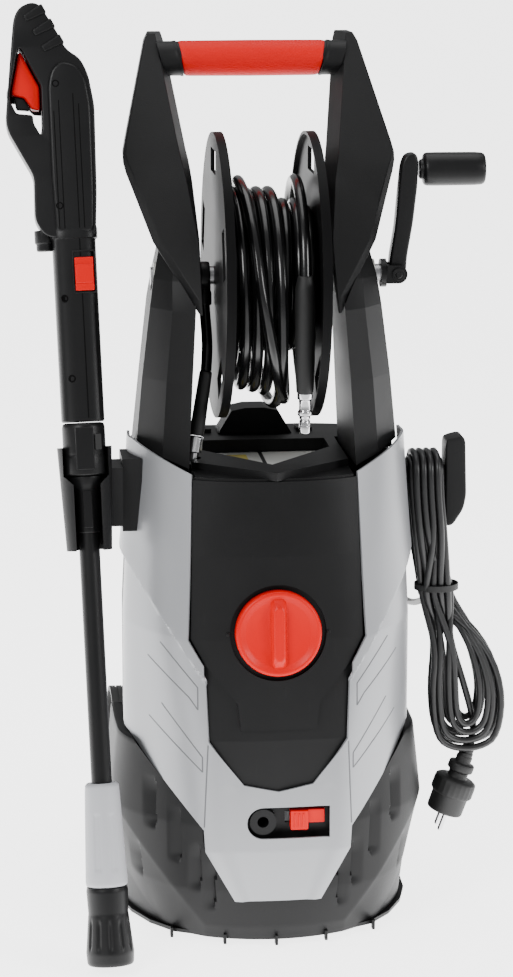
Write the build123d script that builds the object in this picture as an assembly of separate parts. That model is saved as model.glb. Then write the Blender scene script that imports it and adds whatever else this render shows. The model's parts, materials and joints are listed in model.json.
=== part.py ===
from build123d import *
import os
from math import hypot, pi, radians, tan

os.makedirs("parts", exist_ok=True)

# Upright pressure washer on two wheels, with a hose reel between its handle arms.
# Frame: millimetres, +Z up, +Y towards the back, +X to the right seen from the front.
# The origin is the centre of the front foot's ground face.

# ---- overall sizes -------------------------------------------------------------------
wall = 3.0                 # moulded wall of the covers
fit_gap = 0.3              # gap between separate parts that are not a running fit
running = 0.05             # radial clearance of a shaft in its bore

base_half_width = 158.0    # widest half width of the black base
base_top = 203.0           # height of the base's shoulder
base_bottom = 8.0          # height of the base's lower rim above the ground
base_rear = 214.0          # rear face of the base
base_flank_end = 124.0     # where the flanks stop in front of the wheels
base_rear_half = 110.0     # half width of the base between the wheels

housing_top = 500.0        # top of the body envelope
housing_rear = 190.0       # rear face of the rear shell
cover_rear = 62.0          # seam between front cover and rear shell

# ---- wheels --------------------------------------------------------------------------
wheel_radius = 93.0
wheel_width = 30.0
wheel_inner = 117.0        # inner face of the tyre from the middle plane
wheel_y = 222.0
axle_radius = 6.0

# ---- reel ----------------------------------------------------------------------------
reel_y = 60.0
reel_z = 655.0
flange_radius = 140.0
flange_place = 50.0        # outer face of each flange from the middle plane
flange_thick = 4.0
flange_lip = 9.0
drum_radius = 52.0
reel_axle_radius = 9.0
bush_flange = 3.0
winding_radius = 90.0
winding_sag = 116.0        # lowest point of the loose turns below the axle
hose_radius = 5.5

# ---- arms, columns and handle --------------------------------------------------------
bar_y = 181.0
bar_z = 857.0
bar_radius = 15.0
grip_radius = 17.5
grip_half = 71.0
arm_top = 882.0
column_top = 706.0

# ---- crank ---------------------------------------------------------------------------
crank_hub_radius = 14.0
crank_reach = 102.0        # knob axis above the reel axis
crank_knob_in = 153.0
crank_knob_out = 218.0
crank_knob_radius = 16.5
crank_pin_radius = 4.0

# ---- switch, outlet ------------------------------------------------------------------
knob_z = 326.0
knob_radius = 42.0
switch_shaft_radius = 4.0
outlet_x = -15.0
outlet_z = 136.0
outlet_bore = 5.6
outlet_bore_length = 24.0
slot_left = -31.0
slot_right = 50.0
slot_half = 16.0

# ---- motor and pump ------------------------------------------------------------------
motor_y = 62.0
motor_radius = 58.0
motor_shaft_radius = 7.0
pump_radius = 44.0
pump_bottom = 46.0
pump_top = 176.0
motor_bottom = 200.0
motor_top = 352.0

inlet_x = 30.0
inlet_z = 150.0
inlet_radius = 13.0
inlet_spigot_radius = 8.7

# ---- gun and lance -------------------------------------------------------------------
gun_foot = (-167.1, -112.0, 9.0)    # point under the nozzle where the gun's own axis starts
gun_lean = 12.0                     # degrees that the gun leans back
gun_side = -1.72                    # degrees that it leans to the side
lance_radius = 10.0
nozzle_length = 76.0
sleeve_length = 100.0
collar_bottom = 474.0
collar_top = 524.0
gun_body_half = 21.0
gun_depth_half = 18.0

# ---- cord ----------------------------------------------------------------------------
cord_radius = 3.5
hank_y = 60.0
hook_z = 450.0


# ---- helpers -------------------------------------------------------------------------
def box(x0, x1, y0, y1, z0, z1):
    """Box between two corners."""
    middle = ((x0 + x1) / 2, (y0 + y1) / 2, (z0 + z1) / 2)
    return Pos(*middle) * Box(x1 - x0, y1 - y0, z1 - z0)


def rod_x(radius, x0, x1, y, z):
    """Cylinder along X."""
    return Pos((x0 + x1) / 2, y, z) * Rot(0, 90, 0) * Cylinder(radius, x1 - x0)


def rod_y(radius, y0, y1, x, z):
    """Cylinder along Y."""
    return Pos(x, (y0 + y1) / 2, z) * Rot(90, 0, 0) * Cylinder(radius, y1 - y0)


def rod_z(radius, z0, z1, x, y):
    """Cylinder along Z."""
    return Pos(x, y, (z0 + z1) / 2) * Cylinder(radius, z1 - z0)


def ring_face(points, z):
    """Face at height z bounded by straight lines through points."""
    return make_face(Polyline(*[(x, y, z) for x, y in points], close=True).edges())


def smooth_face(points, z):
    """Face at height z with a smooth closed edge through points."""
    return make_face(Spline(*[(x, y, z) for x, y in points], periodic=True).edges())


def mirrored(half):
    """Closed outline from its right half, listed from front middle to back middle."""
    left = [(-x, y) for x, y in reversed(half) if x > 0]
    return list(half) + left


def ruled(faces):
    """Solid through faces, with straight lines between them."""
    return loft(faces, ruled=True)


def front_prism(points, y0, y1):
    """Prism whose outline is seen from the front, as x and z pairs."""
    outline = Polyline(*[(x, y0, z) for x, z in points], close=True)
    return extrude(make_face(outline.edges()), amount=y1 - y0, dir=(0, 1, 0))


def mirror_x(part):
    """Mirror image on the other side of the middle plane."""
    return mirror(part, about=Plane.YZ)


def save(name, *solids):
    """Write one sub-part as a STEP file."""
    found = []
    for item in solids:
        found.extend(item.solids())
    shape = found[0] if len(found) == 1 else Compound(children=found)
    shape.label = name
    export_step(shape, f"parts/{name}.step")


gun_frame = Pos(*gun_foot) * Rot(0, gun_side, 0) * Rot(-gun_lean, 0, 0)


def on_gun(part):
    """Carry a part from the gun's own axes to its place in the holder."""
    return gun_frame * part


# ---- black base ----------------------------------------------------------------------
# Each row is a height and the right half of the outline at that height, front to back.
base_rows = (
    (base_bottom, ((0, -65), (52, -57), (102, -33), (124, -7), (141, 27), (150, 62), (152, base_flank_end))),
    (62.0, ((0, -71), (58, -66), (104, -44), (134, -12), (149, 24), (155, 62), (155, base_flank_end))),
    (130.0, ((0, -75), (62, -70), (106, -47), (140, -12), (156, 22), (base_half_width, 60),
             (157, base_flank_end))),
    (base_top, ((0, -72), (62, -66), (104, -40), (134, -8), (148, 24), (151, 60), (151, base_flank_end))),
)


def base_outline(half, inset):
    """Base outline moved inwards by inset."""
    moved = []
    for x, y in half:
        length = hypot(x / base_half_width, (y - 60) / 135) or 1
        new_x = x - inset * (x / base_half_width) / length
        new_y = y - inset * ((y - 60) / 135) / length
        moved.append((max(new_x, 0), new_y))
    return mirrored(moved)


def base_body(inset, bottom, top):
    """Skirt in front of the wheels joined to the narrower box between them."""
    rows = [(min(max(z, bottom), top), half) for z, half in base_rows]
    skirt = ruled([ring_face(base_outline(half, inset), z) for z, half in rows])
    half_width = base_rear_half - inset
    rear = box(-half_width, half_width, base_flank_end - 10 - inset, base_rear - inset, bottom, top)
    return skirt + rear


def make_base_shell():
    """Hollow skirt with a closed shoulder, louvre slots and holes for what passes through."""
    shell = base_body(0, base_bottom, base_top) - base_body(wall, base_bottom - 1, base_top - wall)
    shell -= box(-124, 124, -60, base_rear - 14, base_top - wall - 1, base_top + 1)
    for side in (-1, 1):
        for x, y, z0, z1 in ((60, -70, 62, 100), (83, -58, 44, 110), (109, -40, 70, 130)):
            shell -= box(side * x - 2.5, side * x + 2.5, y - 15, y + 15, z0, z1)
    shell -= box(-44, 60, -90, -52, 102, 166)
    shell -= rod_y(inlet_radius + fit_gap, base_rear - 20, base_rear + 20, inlet_x, inlet_z)
    layer = housing(-fit_gap) - housing(wall + fit_gap)
    behind_cover = front_prism(shape_in([(0.0, 260.0), (150.0, 260.0)] + cover_outer[2:]), -120, cover_rear)
    return shell - (layer & behind_cover)


def make_axle_blocks():
    """Two blocks inside the base that the wheel axle runs through."""
    blocks = []
    for side in (-1, 1):
        block = box(-11, 11, wheel_y - 9, wheel_y + 9, wheel_radius - 11, wheel_radius + 11)
        block = Pos(side * 99, 0, 0) * block
        block += Pos(side * 99, 0, 0) * box(-11, 11, base_rear, wheel_y, wheel_radius - 11, wheel_radius + 11)
        blocks.append(block - rod_x(axle_radius + running, -140, 140, wheel_y, wheel_radius))
    return blocks


def make_base_plate():
    """Floor pan that closes the base and carries the pump."""
    plate = base_body(wall + fit_gap, base_bottom, base_top) & box(-200, 200, -200, 300, 0, base_bottom + 4)
    plate += rod_z(34, base_bottom + 3, pump_bottom - fit_gap, 0, motor_y)
    return plate


def make_front_foot():
    """Ribbed rubber foot under the front edge."""
    foot = box(-62, 62, -16, 16, 0, base_bottom - fit_gap)
    for x in range(-50, 51, 20):
        foot -= box(x - 2, x + 2, -17, 17, -1, 1.5)
    return foot


def make_rib_feet():
    """Small nubs that stand out under the front rim."""
    nubs = []
    for x, y in ((-101.6, -32.8), (-50.6, -56.8), (0, -64.8), (50.6, -56.8), (101.6, -32.8)):
        nubs.append(box(x - 1.5, x + 1.5, y, y + 2.0, 3.5, base_bottom + 8))
    return nubs


# ---- housing envelope ----------------------------------------------------------------
# Each row: height, front middle, corner x and y, side x and the y where the side starts.
housing_rows = (
    (50.0, -79.5, 44.0, -76.0, 139.0, 22.0),
    (107.0, -83.0, 71.0, -77.5, 140.0, 22.0),
    (219.0, -82.0, 71.0, -75.5, 141.0, 20.0),
    (319.0, -74.5, 84.0, -62.0, 141.0, 18.0),
    (400.0, -66.0, 82.0, -51.5, 137.0, 22.0),
    (housing_top, -52.0, 81.0, -34.0, 131.0, 28.0),
)


def housing_outline(row, inset):
    """Smooth outline of the body at one height, moved inwards by inset."""
    z, front, corner_x, corner_y, side_x, side_y = row
    middle_x = (corner_x + side_x) / 2 + 7
    middle_y = (corner_y + side_y) / 2 - 7
    half = [(0, front), (corner_x * 0.55, front + 0.25 * (corner_y - front)), (corner_x, corner_y),
            (middle_x, middle_y), (side_x, side_y), (side_x + 1, cover_rear), (side_x - 2, 120),
            (side_x - 16, 168), (side_x - 50, housing_rear - 3), (0, housing_rear)]
    moved = [(x * (1 - inset / 140), 60 + (y - 60) * (1 - inset / 138)) for x, y in half]
    return mirrored(moved)


def housing(inset):
    """Solid body envelope, moved inwards by inset."""
    return ruled([smooth_face(housing_outline(row, inset), row[0]) for row in housing_rows])


def front_slab(outer, inner, outline):
    """Layer of the envelope between two insets, inside an outline seen from the front."""
    layer = housing(outer) - housing(inner)
    return layer & front_prism(outline, -120, cover_rear)


def shape_in(points):
    """Closed outline from its right half, listed from the top round to the bottom."""
    return list(points) + [(-x, z) for x, z in reversed(points) if x > 0]


cover_opening = [(80.0, 520.0), (80.0, 477.0), (84.4, 319.0), (71.0, 295.0), (68.5, 219.0), (34.0, 175.0),
                 (0.0, 168.0)]
raised_panel = [(79.6, 472.0), (84.0, 319.2), (70.7, 295.3), (40.0, 257.0), (37.0, 231.0), (0.0, 231.0)]
cover_outer = [(84.0, 479.5), (150.0, 501.5), (150.0, 212.0), (138.5, 204.0), (73.0, 129.0), (71.6, 107.0),
               (42.7, 55.0), (0.0, 55.0)]


def make_front_cover():
    """Silver cover: two wings joined below the black panel."""
    cover = front_slab(0, wall, shape_in([(0.0, 479.5)] + cover_outer))
    cover -= front_prism(shape_in(cover_opening), -120, 0)
    slot_middle = (slot_left + slot_half, outlet_z)
    cover -= box(slot_middle[0], slot_right, -120, -40, outlet_z - slot_half, outlet_z + slot_half)
    cover -= rod_y(slot_half, -120, -40, slot_middle[0], slot_middle[1])
    return cover


def make_lower_panel():
    """Black panel set back behind the lower end of the raised panel."""
    outline = [(74.0, 300.0), (74.0, 214.0), (38.0, 169.0), (0.0, 162.0)]
    panel = front_slab(wall + fit_gap, 2 * wall + fit_gap, shape_in(outline))
    return panel - on_dish(rod_z(knob_radius + dish_rim + 3.5, -45, 40, 0, 0))


def make_centre_panel():
    """Raised black panel with the dish round the knob."""
    panel = front_slab(-1.2, wall, shape_in(raised_panel))
    cup_radius = knob_radius + dish_rim
    panel += on_dish(rod_z(cup_radius + 3, -10, 0, 0, 0)) & housing(-1.0)
    panel -= on_dish(rod_z(cup_radius, -7, 30, 0, 0))
    return panel - on_dish(rod_z(switch_shaft_radius + running, -12, 30, 0, 0))


knob_lean = 6.0
dish_rim = 5.0
knob_tilt = 90.0 - knob_lean
knob_place = (0.0, -73.0, knob_z)


def make_rear_shell():
    """Back half of the housing with cooling vents and a humped crown."""
    shell = (housing(0) - housing(wall)) & box(-200, 200, cover_rear + fit_gap, 250, base_top + fit_gap, 478)
    roof = (housing(0.5)) & box(-200, 200, cover_rear + 58, 250, 475, 478)
    shell += roof
    shell -= box(-200, 200, cover_rear, cover_rear + 57.7, 470, 479)
    for z in range(250, 400, 18):
        shell -= box(-60, 60, housing_rear - 12, housing_rear + 10, z, z + 7)
    hump = [(-38, 478), (-24, 502), (-10, 505), (10, 505), (24, 502), (38, 478)]
    shell += front_prism(hump, 142, 176)
    for side in (-1, 1):
        shell += box(side * 52 - 8, side * 52 + 8, 150, 172, 477, 482)
    return shell


def make_top_tray():
    """Tray between the columns, with a pointed front and a diamond recess."""
    rim = [(0, -60), (77, 0), (77, 119), (-77, 119), (-77, 0)]
    tray = extrude(ring_face(rim, 473), amount=8)
    ledge = (housing(wall + fit_gap)) & box(-77, 77, -120, 119, 463, 474)
    tray += ledge
    recess = [(0, -20), (66, 58), (66, 100), (-66, 100), (-66, 58)]
    tray -= extrude(ring_face(recess, 468), amount=20)
    tray -= rod_z(8, 450, 500, link_x, link_y)
    return tray


link_x = -74.0
link_y = 18.0


# ---- columns and arms ----------------------------------------------------------------
column_rows = (
    (470.0, ((82, -24), (107, -6), (131, 30), (131, 98), (80, 98))),
    (560.0, ((77, -14), (101, 2), (122.5, 34), (121, 102), (76, 102))),
    (628.0, ((72.5, -3), (94, 12), (114, 38), (113, 105), (73, 105))),
    (655.0, ((71, 17), (93, 25), (110, 44), (108, 106), (72, 106))),
    (column_top, ((72, 62), (84, 64), (98, 72), (96, 108), (72, 108))),
)


def arm_front(z):
    """Front face of the arm at a height: it leans back as it rises."""
    return -6.0 + (z - 628.0) * 0.745


# Each row: height, inner front edge, outer front edge, depth and how far the back is further in.
arm_rows = (
    (626.0, 66.0, 68.5, 9.0, 0.0),
    (690.0, 65.5, 110.0, 16.0, 2.0),
    (765.0, 78.0, 136.0, 34.0, 9.0),
    (arm_top, 97.0, 105.0, 34.0, 9.0),
)


def make_arm():
    """Right arm: a tapering diamond plate with a deep back edge."""
    faces = []
    for z, inner, outer, depth, inward in arm_rows:
        y = arm_front(z)
        back = y + depth
        faces.append(ring_face([(inner, y), (outer, y + 4), (outer - 2, back), (inner - inward, back)], z))
    return ruled(faces)


def make_column(arm):
    """Right column: stands on the cover and carries the reel bush."""
    column = ruled([ring_face(points, z) for z, points in column_rows])
    seat = [(60.0, 440.0), (60.0, 472.5), (84.0, 479.5 + fit_gap), (150.0, 501.5 + fit_gap), (150.0, 440.0)]
    column -= front_prism(seat, -80, cover_rear + fit_gap)
    column -= box(60, 150, 0, 150, 440, 478 + fit_gap)
    column -= arm
    column -= rod_x(bush_outer + 0.01, 40, 140, reel_y, reel_z)
    return column


bush_outer = 14.0


def make_bush(x0, x1):
    """Flanged bush in a column; the reel axle turns in it."""
    bush = rod_x(bush_outer, x0, x1, reel_y, reel_z)
    bush += rod_x(bush_outer + 4, x0 - bush_flange, x0, reel_y, reel_z)
    return bush - rod_x(reel_axle_radius + running, 40, 140, reel_y, reel_z)


def make_handle_bar():
    """Bar between the arms, thinner where the grip sleeve sits."""
    bar = rod_x(grip_radius - 0.5, -92, 92, bar_y, bar_z)
    bar -= rod_x(60, -grip_half - fit_gap, grip_half + fit_gap, bar_y, bar_z) - rod_x(
        bar_radius, -grip_half - fit_gap, grip_half + fit_gap, bar_y, bar_z)
    return bar


def make_grip():
    """Soft red sleeve on the bar."""
    sleeve = rod_x(grip_radius, -grip_half, grip_half, bar_y, bar_z)
    return sleeve - rod_x(bar_radius + 0.02, -grip_half - 1, grip_half + 1, bar_y, bar_z)


# ---- reel ----------------------------------------------------------------------------
def make_flange():
    """Right reel flange with a turned lip and five windows."""
    x1 = flange_place
    disc = rod_x(flange_radius, x1 - flange_thick, x1, reel_y, reel_z)
    disc += rod_x(flange_radius, x1 - flange_lip, x1, reel_y, reel_z) - rod_x(
        flange_radius - 3, x1 - flange_lip - 1, x1 + 1, reel_y, reel_z)
    disc -= rod_x(reel_axle_radius + 0.02, 0, 100, reel_y, reel_z)
    for number in range(5):
        turn = Pos(0, reel_y, reel_z) * Rot(72 * number, 0, 0) * Pos(0, -reel_y, -reel_z)
        disc -= turn * box(x1 - 12, x1 + 1, reel_y - 24, reel_y + 24, reel_z + 101, reel_z + 124)
    return disc


def make_drum():
    """Hollow drum between the flanges."""
    end = flange_place - flange_thick
    drum = rod_x(drum_radius, -end, end, reel_y, reel_z)
    drum -= rod_x(drum_radius - 4, -end + 4, end - 4, reel_y, reel_z)
    return drum - rod_x(reel_axle_radius + 0.02, -100, 100, reel_y, reel_z)


def make_winding():
    """Wound hose: a ring whose loose turns hang below the drum."""
    x0 = -(flange_place - flange_lip - 2)
    x1 = -x0
    low = reel_z - winding_sag
    points = [(reel_y, reel_z + winding_radius - 2), (reel_y + winding_radius, reel_z),
              (reel_y + 56, low + 28), (reel_y, low), (reel_y - 56, low + 28),
              (reel_y - winding_radius, reel_z)]
    outline = Spline(*[(x0, y, z) for y, z in points], periodic=True)
    ring = extrude(make_face(outline.edges()), amount=x1 - x0, dir=(1, 0, 0))
    ring -= rod_x(drum_radius + 0.3, x0 - 1, x1 + 1, reel_y, reel_z)
    half = 12
    x0 = hose_end_x - half
    x1 = hose_end_x + half
    return ring - box(x0, x1, hose_end_y - 60, hose_end_y + 11, 400, hose_end_top + half)


hose_end_x = 30.0
hose_end_y = -30.0
hose_end_top = 665.0
hose_sleeve_length = 112.0


def make_hose_sleeve():
    """Bend guard at the free end of the hose."""
    top = hose_end_top
    bottom = top - hose_sleeve_length
    sleeve = Pos(hose_end_x, hose_end_y, (top + bottom) / 2) * Cone(10.2, 8.0, hose_sleeve_length)
    return sleeve


def make_hose_nipple():
    """Plated nipple that plugs into the machine's outlet."""
    top = hose_end_top - hose_sleeve_length
    x = hose_end_x
    y = hose_end_y
    steps = ((7.3, 6), (5.6, 12), (6.8, 4), (5.2, 10), (5.6, 8))
    body = None
    for radius, length in steps:
        piece = rod_z(radius, top - length, top, x, y)
        body = piece if body is None else body + piece
        top -= length
    return body


def make_swivel():
    """Brass elbow round the reel's left axle end, where water enters."""
    elbow = rod_x(13.5, -64, -54, reel_y, reel_z)
    elbow += rod_z(6.5, reel_z - 26, reel_z, -59, reel_y)
    return elbow - rod_x(reel_axle_radius + running, -100, 0, reel_y, reel_z)


# ---- crank ---------------------------------------------------------------------------
crank_pivot_x = 132.0
crank_eye_radius = 9.5
crank_eye_half = 4.7
fork_gap = 0.3


def make_crank_hub():
    """Hub on the axle end with a fork for the folding crank."""
    hub = rod_x(crank_hub_radius, 115.5, 121, reel_y, reel_z)
    for side in (-1, 1):
        y0 = reel_y + side * (crank_eye_half + fork_gap)
        y1 = reel_y + side * crank_hub_radius
        ear = box(120.9, crank_pivot_x, min(y0, y1), max(y0, y1), reel_z - 9, reel_z + 9)
        ear += rod_y(9, min(y0, y1), max(y0, y1), crank_pivot_x, reel_z)
        hub += ear
    hub -= rod_x(reel_axle_radius + 0.02, 100, 120, reel_y, reel_z)
    return hub - rod_y(crank_pin_radius + 0.02, reel_y - 30, reel_y + 30, crank_pivot_x, reel_z)


def make_crank_arm():
    """Bowed crank arm with an eye at the bottom and the knob pin at the top."""
    outline = [(125, 672), (129, 700), (132, 735), (135, 764), (139, 773), (148, 774), (151, 768),
               (151, 742), (147, 705), (140, 672)]
    arm = front_prism(outline, reel_y - 9, reel_y + 9)
    neck = [(124.5, 654), (124.5, 673), (140.5, 673), (139.5, 654)]
    arm += front_prism(neck, reel_y - crank_eye_half, reel_y + crank_eye_half)
    arm += rod_y(crank_eye_radius, reel_y - crank_eye_half, reel_y + crank_eye_half, crank_pivot_x, reel_z)
    arm -= rod_y(crank_pin_radius + running, reel_y - 30, reel_y + 30, crank_pivot_x, reel_z)
    return arm - rod_x(crank_pin_radius + 0.01, 140, 200, reel_y, reel_z + crank_reach)


def make_crank_pivot():
    """Screw that the crank folds on."""
    pin = rod_y(crank_pin_radius, reel_y - crank_hub_radius, reel_y + crank_hub_radius, crank_pivot_x, reel_z)
    return pin + rod_y(6.5, reel_y - crank_hub_radius - 2.5, reel_y - crank_hub_radius, crank_pivot_x, reel_z)


def make_crank_pin():
    """Pin that the knob turns on."""
    return rod_x(crank_pin_radius, 140.5, crank_knob_out - 4.5, reel_y, reel_z + crank_reach)


def make_crank_knob():
    """Freely turning grip on the crank pin."""
    z = reel_z + crank_reach
    knob = rod_x(crank_knob_radius, crank_knob_in, crank_knob_out, reel_y, z)
    return knob - rod_x(crank_pin_radius + running, crank_knob_in - 1, crank_knob_out - 4, reel_y, z)


# ---- switch and outlet ---------------------------------------------------------------
def on_dish(part):
    """Carry a part onto the tilted dish of the switch."""
    return Pos(*knob_place) * Rot(knob_tilt, 0, 0) * part


def make_switch_knob():
    """Round knob with a raised bar across it and its shaft."""
    knob = rod_z(knob_radius, -6.6, 8, 0, 0)
    knob += box(-8, 8, -27, 27, 7, 13)
    return on_dish(knob + rod_z(switch_shaft_radius, -26, -6, 0, 0))


def make_rotary_switch():
    """Switch block behind the panel."""
    block = box(-19, 19, -19, 19, -38, -10 - fit_gap)
    return on_dish(block - rod_z(switch_shaft_radius + running, -30, 0, 0, 0))


frame_front = -67.0
slider_travel = 8.0


def make_outlet_frame():
    """Black plate behind the slot that guides the plug lock."""
    plate = box(-40, 56, frame_front, frame_front + 5, 108, 162)
    plate -= rod_y(13 + fit_gap, -90, -40, outlet_x, outlet_z)
    return plate - box(16 - slider_travel - 0.5, 26.5, -90, -40, outlet_z - 4.5, outlet_z + 6.5)


def make_outlet_socket():
    """Round socket for the hose nipple."""
    socket = rod_y(13, -78, -44, outlet_x, outlet_z)
    return socket - rod_y(outlet_bore, -79, -78 + outlet_bore_length, outlet_x, outlet_z)


def make_outlet_lock():
    """Red slide that locks the hose nipple in the socket."""
    lock = box(12, 30, -79, frame_front - fit_gap, outlet_z - 9, outlet_z + 11)
    lock += box(29, 46, -75, frame_front - fit_gap, outlet_z - 3, outlet_z + 11)
    lock += box(16, 26, frame_front - 1, -58, outlet_z - 4, outlet_z + 6)
    return lock + box(13, 29, -61.7, -57, outlet_z - 8, outlet_z + 10)


# ---- motor and pump ------------------------------------------------------------------
def make_motor_case():
    """Motor shell with the stator: the rotor turns inside it."""
    case = rod_z(motor_radius, motor_bottom, motor_top, 0, motor_y)
    case -= rod_z(motor_radius - 20, motor_bottom + 8, motor_top - 8, 0, motor_y)
    neck = rod_z(30, pump_top + fit_gap, motor_bottom + 1, 0, motor_y)
    case += neck - rod_z(24, pump_top, motor_bottom + 1, 0, motor_y)
    return case - rod_z(motor_shaft_radius + running, pump_top, motor_top + 1, 0, motor_y)


def make_motor_rotor():
    """Rotor core on its shaft."""
    core = rod_z(motor_radius - 21, motor_bottom + 16, motor_top - 16, 0, motor_y)
    return core + rod_z(motor_shaft_radius, pump_top - 12, motor_top + 30, 0, motor_y)


def make_motor_fan():
    """Cooling fan on top of the shaft."""
    fan = rod_z(12, motor_top + 8, motor_top + 26, 0, motor_y)
    for number in range(6):
        blade = box(8, 50, -1.5, 1.5, motor_top + 8, motor_top + 24)
        fan += Pos(0, motor_y, 0) * Rot(0, 0, 60 * number) * blade
    return fan - rod_z(motor_shaft_radius + 0.02, 0, 500, 0, motor_y)


def make_fan_cover():
    """Cap over the fan, seated on the motor case."""
    cap = rod_z(motor_radius, motor_top + fit_gap, motor_top + 38, 0, motor_y)
    cap -= rod_z(motor_radius - 3, motor_top - 1, motor_top + 35, 0, motor_y)
    for number in range(8):
        slot = box(16, 46, -3, 3, motor_top + 30, motor_top + 40)
        cap -= Pos(0, motor_y, 0) * Rot(0, 0, 45 * number) * slot
    return cap


pump_flat = 30.0


def make_pump_body():
    """Pump case: the shaft end drives the swash plate inside it."""
    case = rod_z(pump_radius, pump_bottom, pump_top, 0, motor_y)
    case -= box(-60, 60, -40, pump_flat, pump_bottom - 1, pump_top + 1)
    case += box(inlet_x - 11, inlet_x + 11, 84, 101, inlet_z - 11, inlet_z + 11)
    case -= rod_z(26, pump_top - 30, pump_top - 6, 0, motor_y)
    return case - rod_z(motor_shaft_radius + running, pump_top - 14, pump_top + 1, 0, motor_y)


def make_swash_plate():
    """Tilted disc on the shaft end that drives the pistons."""
    disc = Pos(0, motor_y, pump_top - 19) * Rot(8, 0, 0) * Cylinder(20, 5)
    disc += rod_z(6, pump_top - 22, pump_top - 12 - fit_gap, 0, motor_y)
    return disc


def make_pump_head():
    """Valve head bolted to the pump's flat side."""
    return box(-34, 34, 8, pump_flat - fit_gap, 104, 164)


def make_valve_caps():
    """Three brass valve caps on the head."""
    return [rod_y(7, 2, 8 - fit_gap, x, 116) for x in (-22, 0, 22)]


def make_outlet_pipe():
    """Pipe from the valve head to the outlet socket."""
    return rod_y(7, -44 + fit_gap, 8 - fit_gap, outlet_x, outlet_z)


def make_pressure_switch():
    """Small switch block on the valve head that stops the motor."""
    return box(-13, 13, 10, 28, 164 + fit_gap, 190)


def make_capacitor():
    """Motor capacitor in its clip beside the motor."""
    clip = box(46, 66, motor_y + 14, motor_y + 34, 262, 292)
    clip -= rod_z(motor_radius + fit_gap, motor_bottom, motor_top, 0, motor_y)
    return rod_z(17, 236, 316, 78, motor_y + 24) + clip


def make_inlet_pipe():
    """Water pipe from the back of the base to the pump."""
    return rod_y(7, 101 + fit_gap, 203, inlet_x, inlet_z)


def make_inlet_connector():
    """Garden hose connector with a locking groove."""
    body = rod_y(inlet_radius, 203.3, 224, inlet_x, inlet_z)
    spigot = rod_y(inlet_spigot_radius, 224, 248, inlet_x, inlet_z)
    spigot -= rod_y(20, 239, 242, inlet_x, inlet_z) - rod_y(7.4, 239, 242, inlet_x, inlet_z)
    return body + spigot - rod_y(5, 210, 250, inlet_x, inlet_z)


link_foot = (-70.5, 20.0, 503.0)
link_top = (-60.5, 26.0, 566.0)
link_points = [(-60.5, 26, 566), (-58.8, 30, 582), (-58.2, 39.5, 598), (-58.8, 51.5, 614), (-59, 60, 629)]


def make_link_hose_parts():
    """Bend guard of the link hose, and the nut that joins it to the pump's stub pipe."""
    place = Plane(origin=link_foot, z_dir=Vector(*link_top) - Vector(*link_foot))
    length = (Vector(*link_top) - Vector(*link_foot)).length
    guard = place * Pos(0, 0, length / 2) * Cone(7.2, 6.4, length - 0.6)
    nut = place * Pos(0, 0, -8) * Cylinder(6.6, 15.4)
    nut += place * Pos(0, 0, -22) * Cylinder(5.0, 14)
    return guard, nut


# ---- wheels --------------------------------------------------------------------------
def make_wheel():
    """Right wheel: hub, ribbed disc and rim."""
    x0 = wheel_inner
    x1 = wheel_inner + wheel_width
    rim_radius = wheel_radius
    rim = rod_x(rim_radius, x0 + 1, x1 - 1, wheel_y, wheel_radius)
    rim -= rod_x(rim_radius - 5, x0, x1, wheel_y, wheel_radius)
    for place in (8, 15, 22):
        groove = rod_x(wheel_radius + 1, x0 + place - 1, x0 + place + 1, wheel_y, wheel_radius)
        rim -= groove - rod_x(wheel_radius - 1.5, x0 + place - 1, x0 + place + 1, wheel_y, wheel_radius)
    web = rod_x(rim_radius - 2, x0 + 10, x0 + 15, wheel_y, wheel_radius)
    hub = rod_x(15, x0 - 5, x1, wheel_y, wheel_radius)
    wheel = rim + web + hub
    for number in range(8):
        turn = Pos(0, wheel_y, wheel_radius) * Rot(45 * number, 0, 0)
        wheel += turn * box(x0 + 6, x1 - 6, -1.5, 1.5, 12, rim_radius - 2)
    return wheel - rod_x(axle_radius + running, 0, 200, wheel_y, wheel_radius)


def make_wheel_cap():
    """Cap pressed on the right end of the axle."""
    x0 = wheel_inner + wheel_width + fit_gap
    cap = rod_x(14, x0, x0 + 4, wheel_y, wheel_radius)
    return cap - rod_x(axle_radius + 0.02, x0 - 1, x0 + 2, wheel_y, wheel_radius)


# ---- gun holder and cord hook ---------------------------------------------------------
def make_gun_holder():
    """Open-fronted channel that the lance hangs in, with its bracket."""
    outer = Pos(0, 0, 452) * Cone(22, 26.5, 100)
    inner = Pos(0, 0, 436) * Cone(14.5, 16.5, 70) + rod_z(21.4, 471, 510, 0, 0)
    mouth = box(-13, 13, -60, 0, 395, 472) + box(-22, 22, -60, 0, 474, 510)
    mouth += front_prism([(-13, 466), (-22, 474.5), (22, 474.5), (13, 466)], -60, 0)
    channel = on_gun(outer - inner - mouth)
    bracket = box(-170, -145.3, -16, 26, 422, 480) - on_gun(rod_z(21.6, 380, 520, 0, 0))
    bracket += channel
    bracket -= on_gun(inner + mouth)
    return bracket - housing_block()


def housing_block():
    """Body envelope grown by the fit gap, for trimming what is fixed to it."""
    return housing(-fit_gap)


def make_holder_plate():
    """Plate screwed to the housing's side that the gun holder clips to."""
    plate = box(-145, -126, -4, 44, 414, 486)
    return plate - housing_block()


def make_cord_hook():
    """Arm and upright plate that the mains cord hangs on."""
    arm = box(128, 184, hank_y - 9, hank_y + 9, hook_z - 8, hook_z + 8)
    foot = box(128, 142, hank_y - 18, hank_y + 18, hook_z - 24, hook_z + 20) - box(
        141, 143, hank_y - 19, hank_y + 19, hook_z - 25, hook_z + 21)
    outline = [(182, 484), (184, 487), (198, 491), (201, 487), (203.5, 430), (201, 417), (190, 399),
               (182, 399)]
    plate = front_prism(outline, hank_y - 14, hank_y + 14)
    return arm + foot + plate - housing_block()


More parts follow.
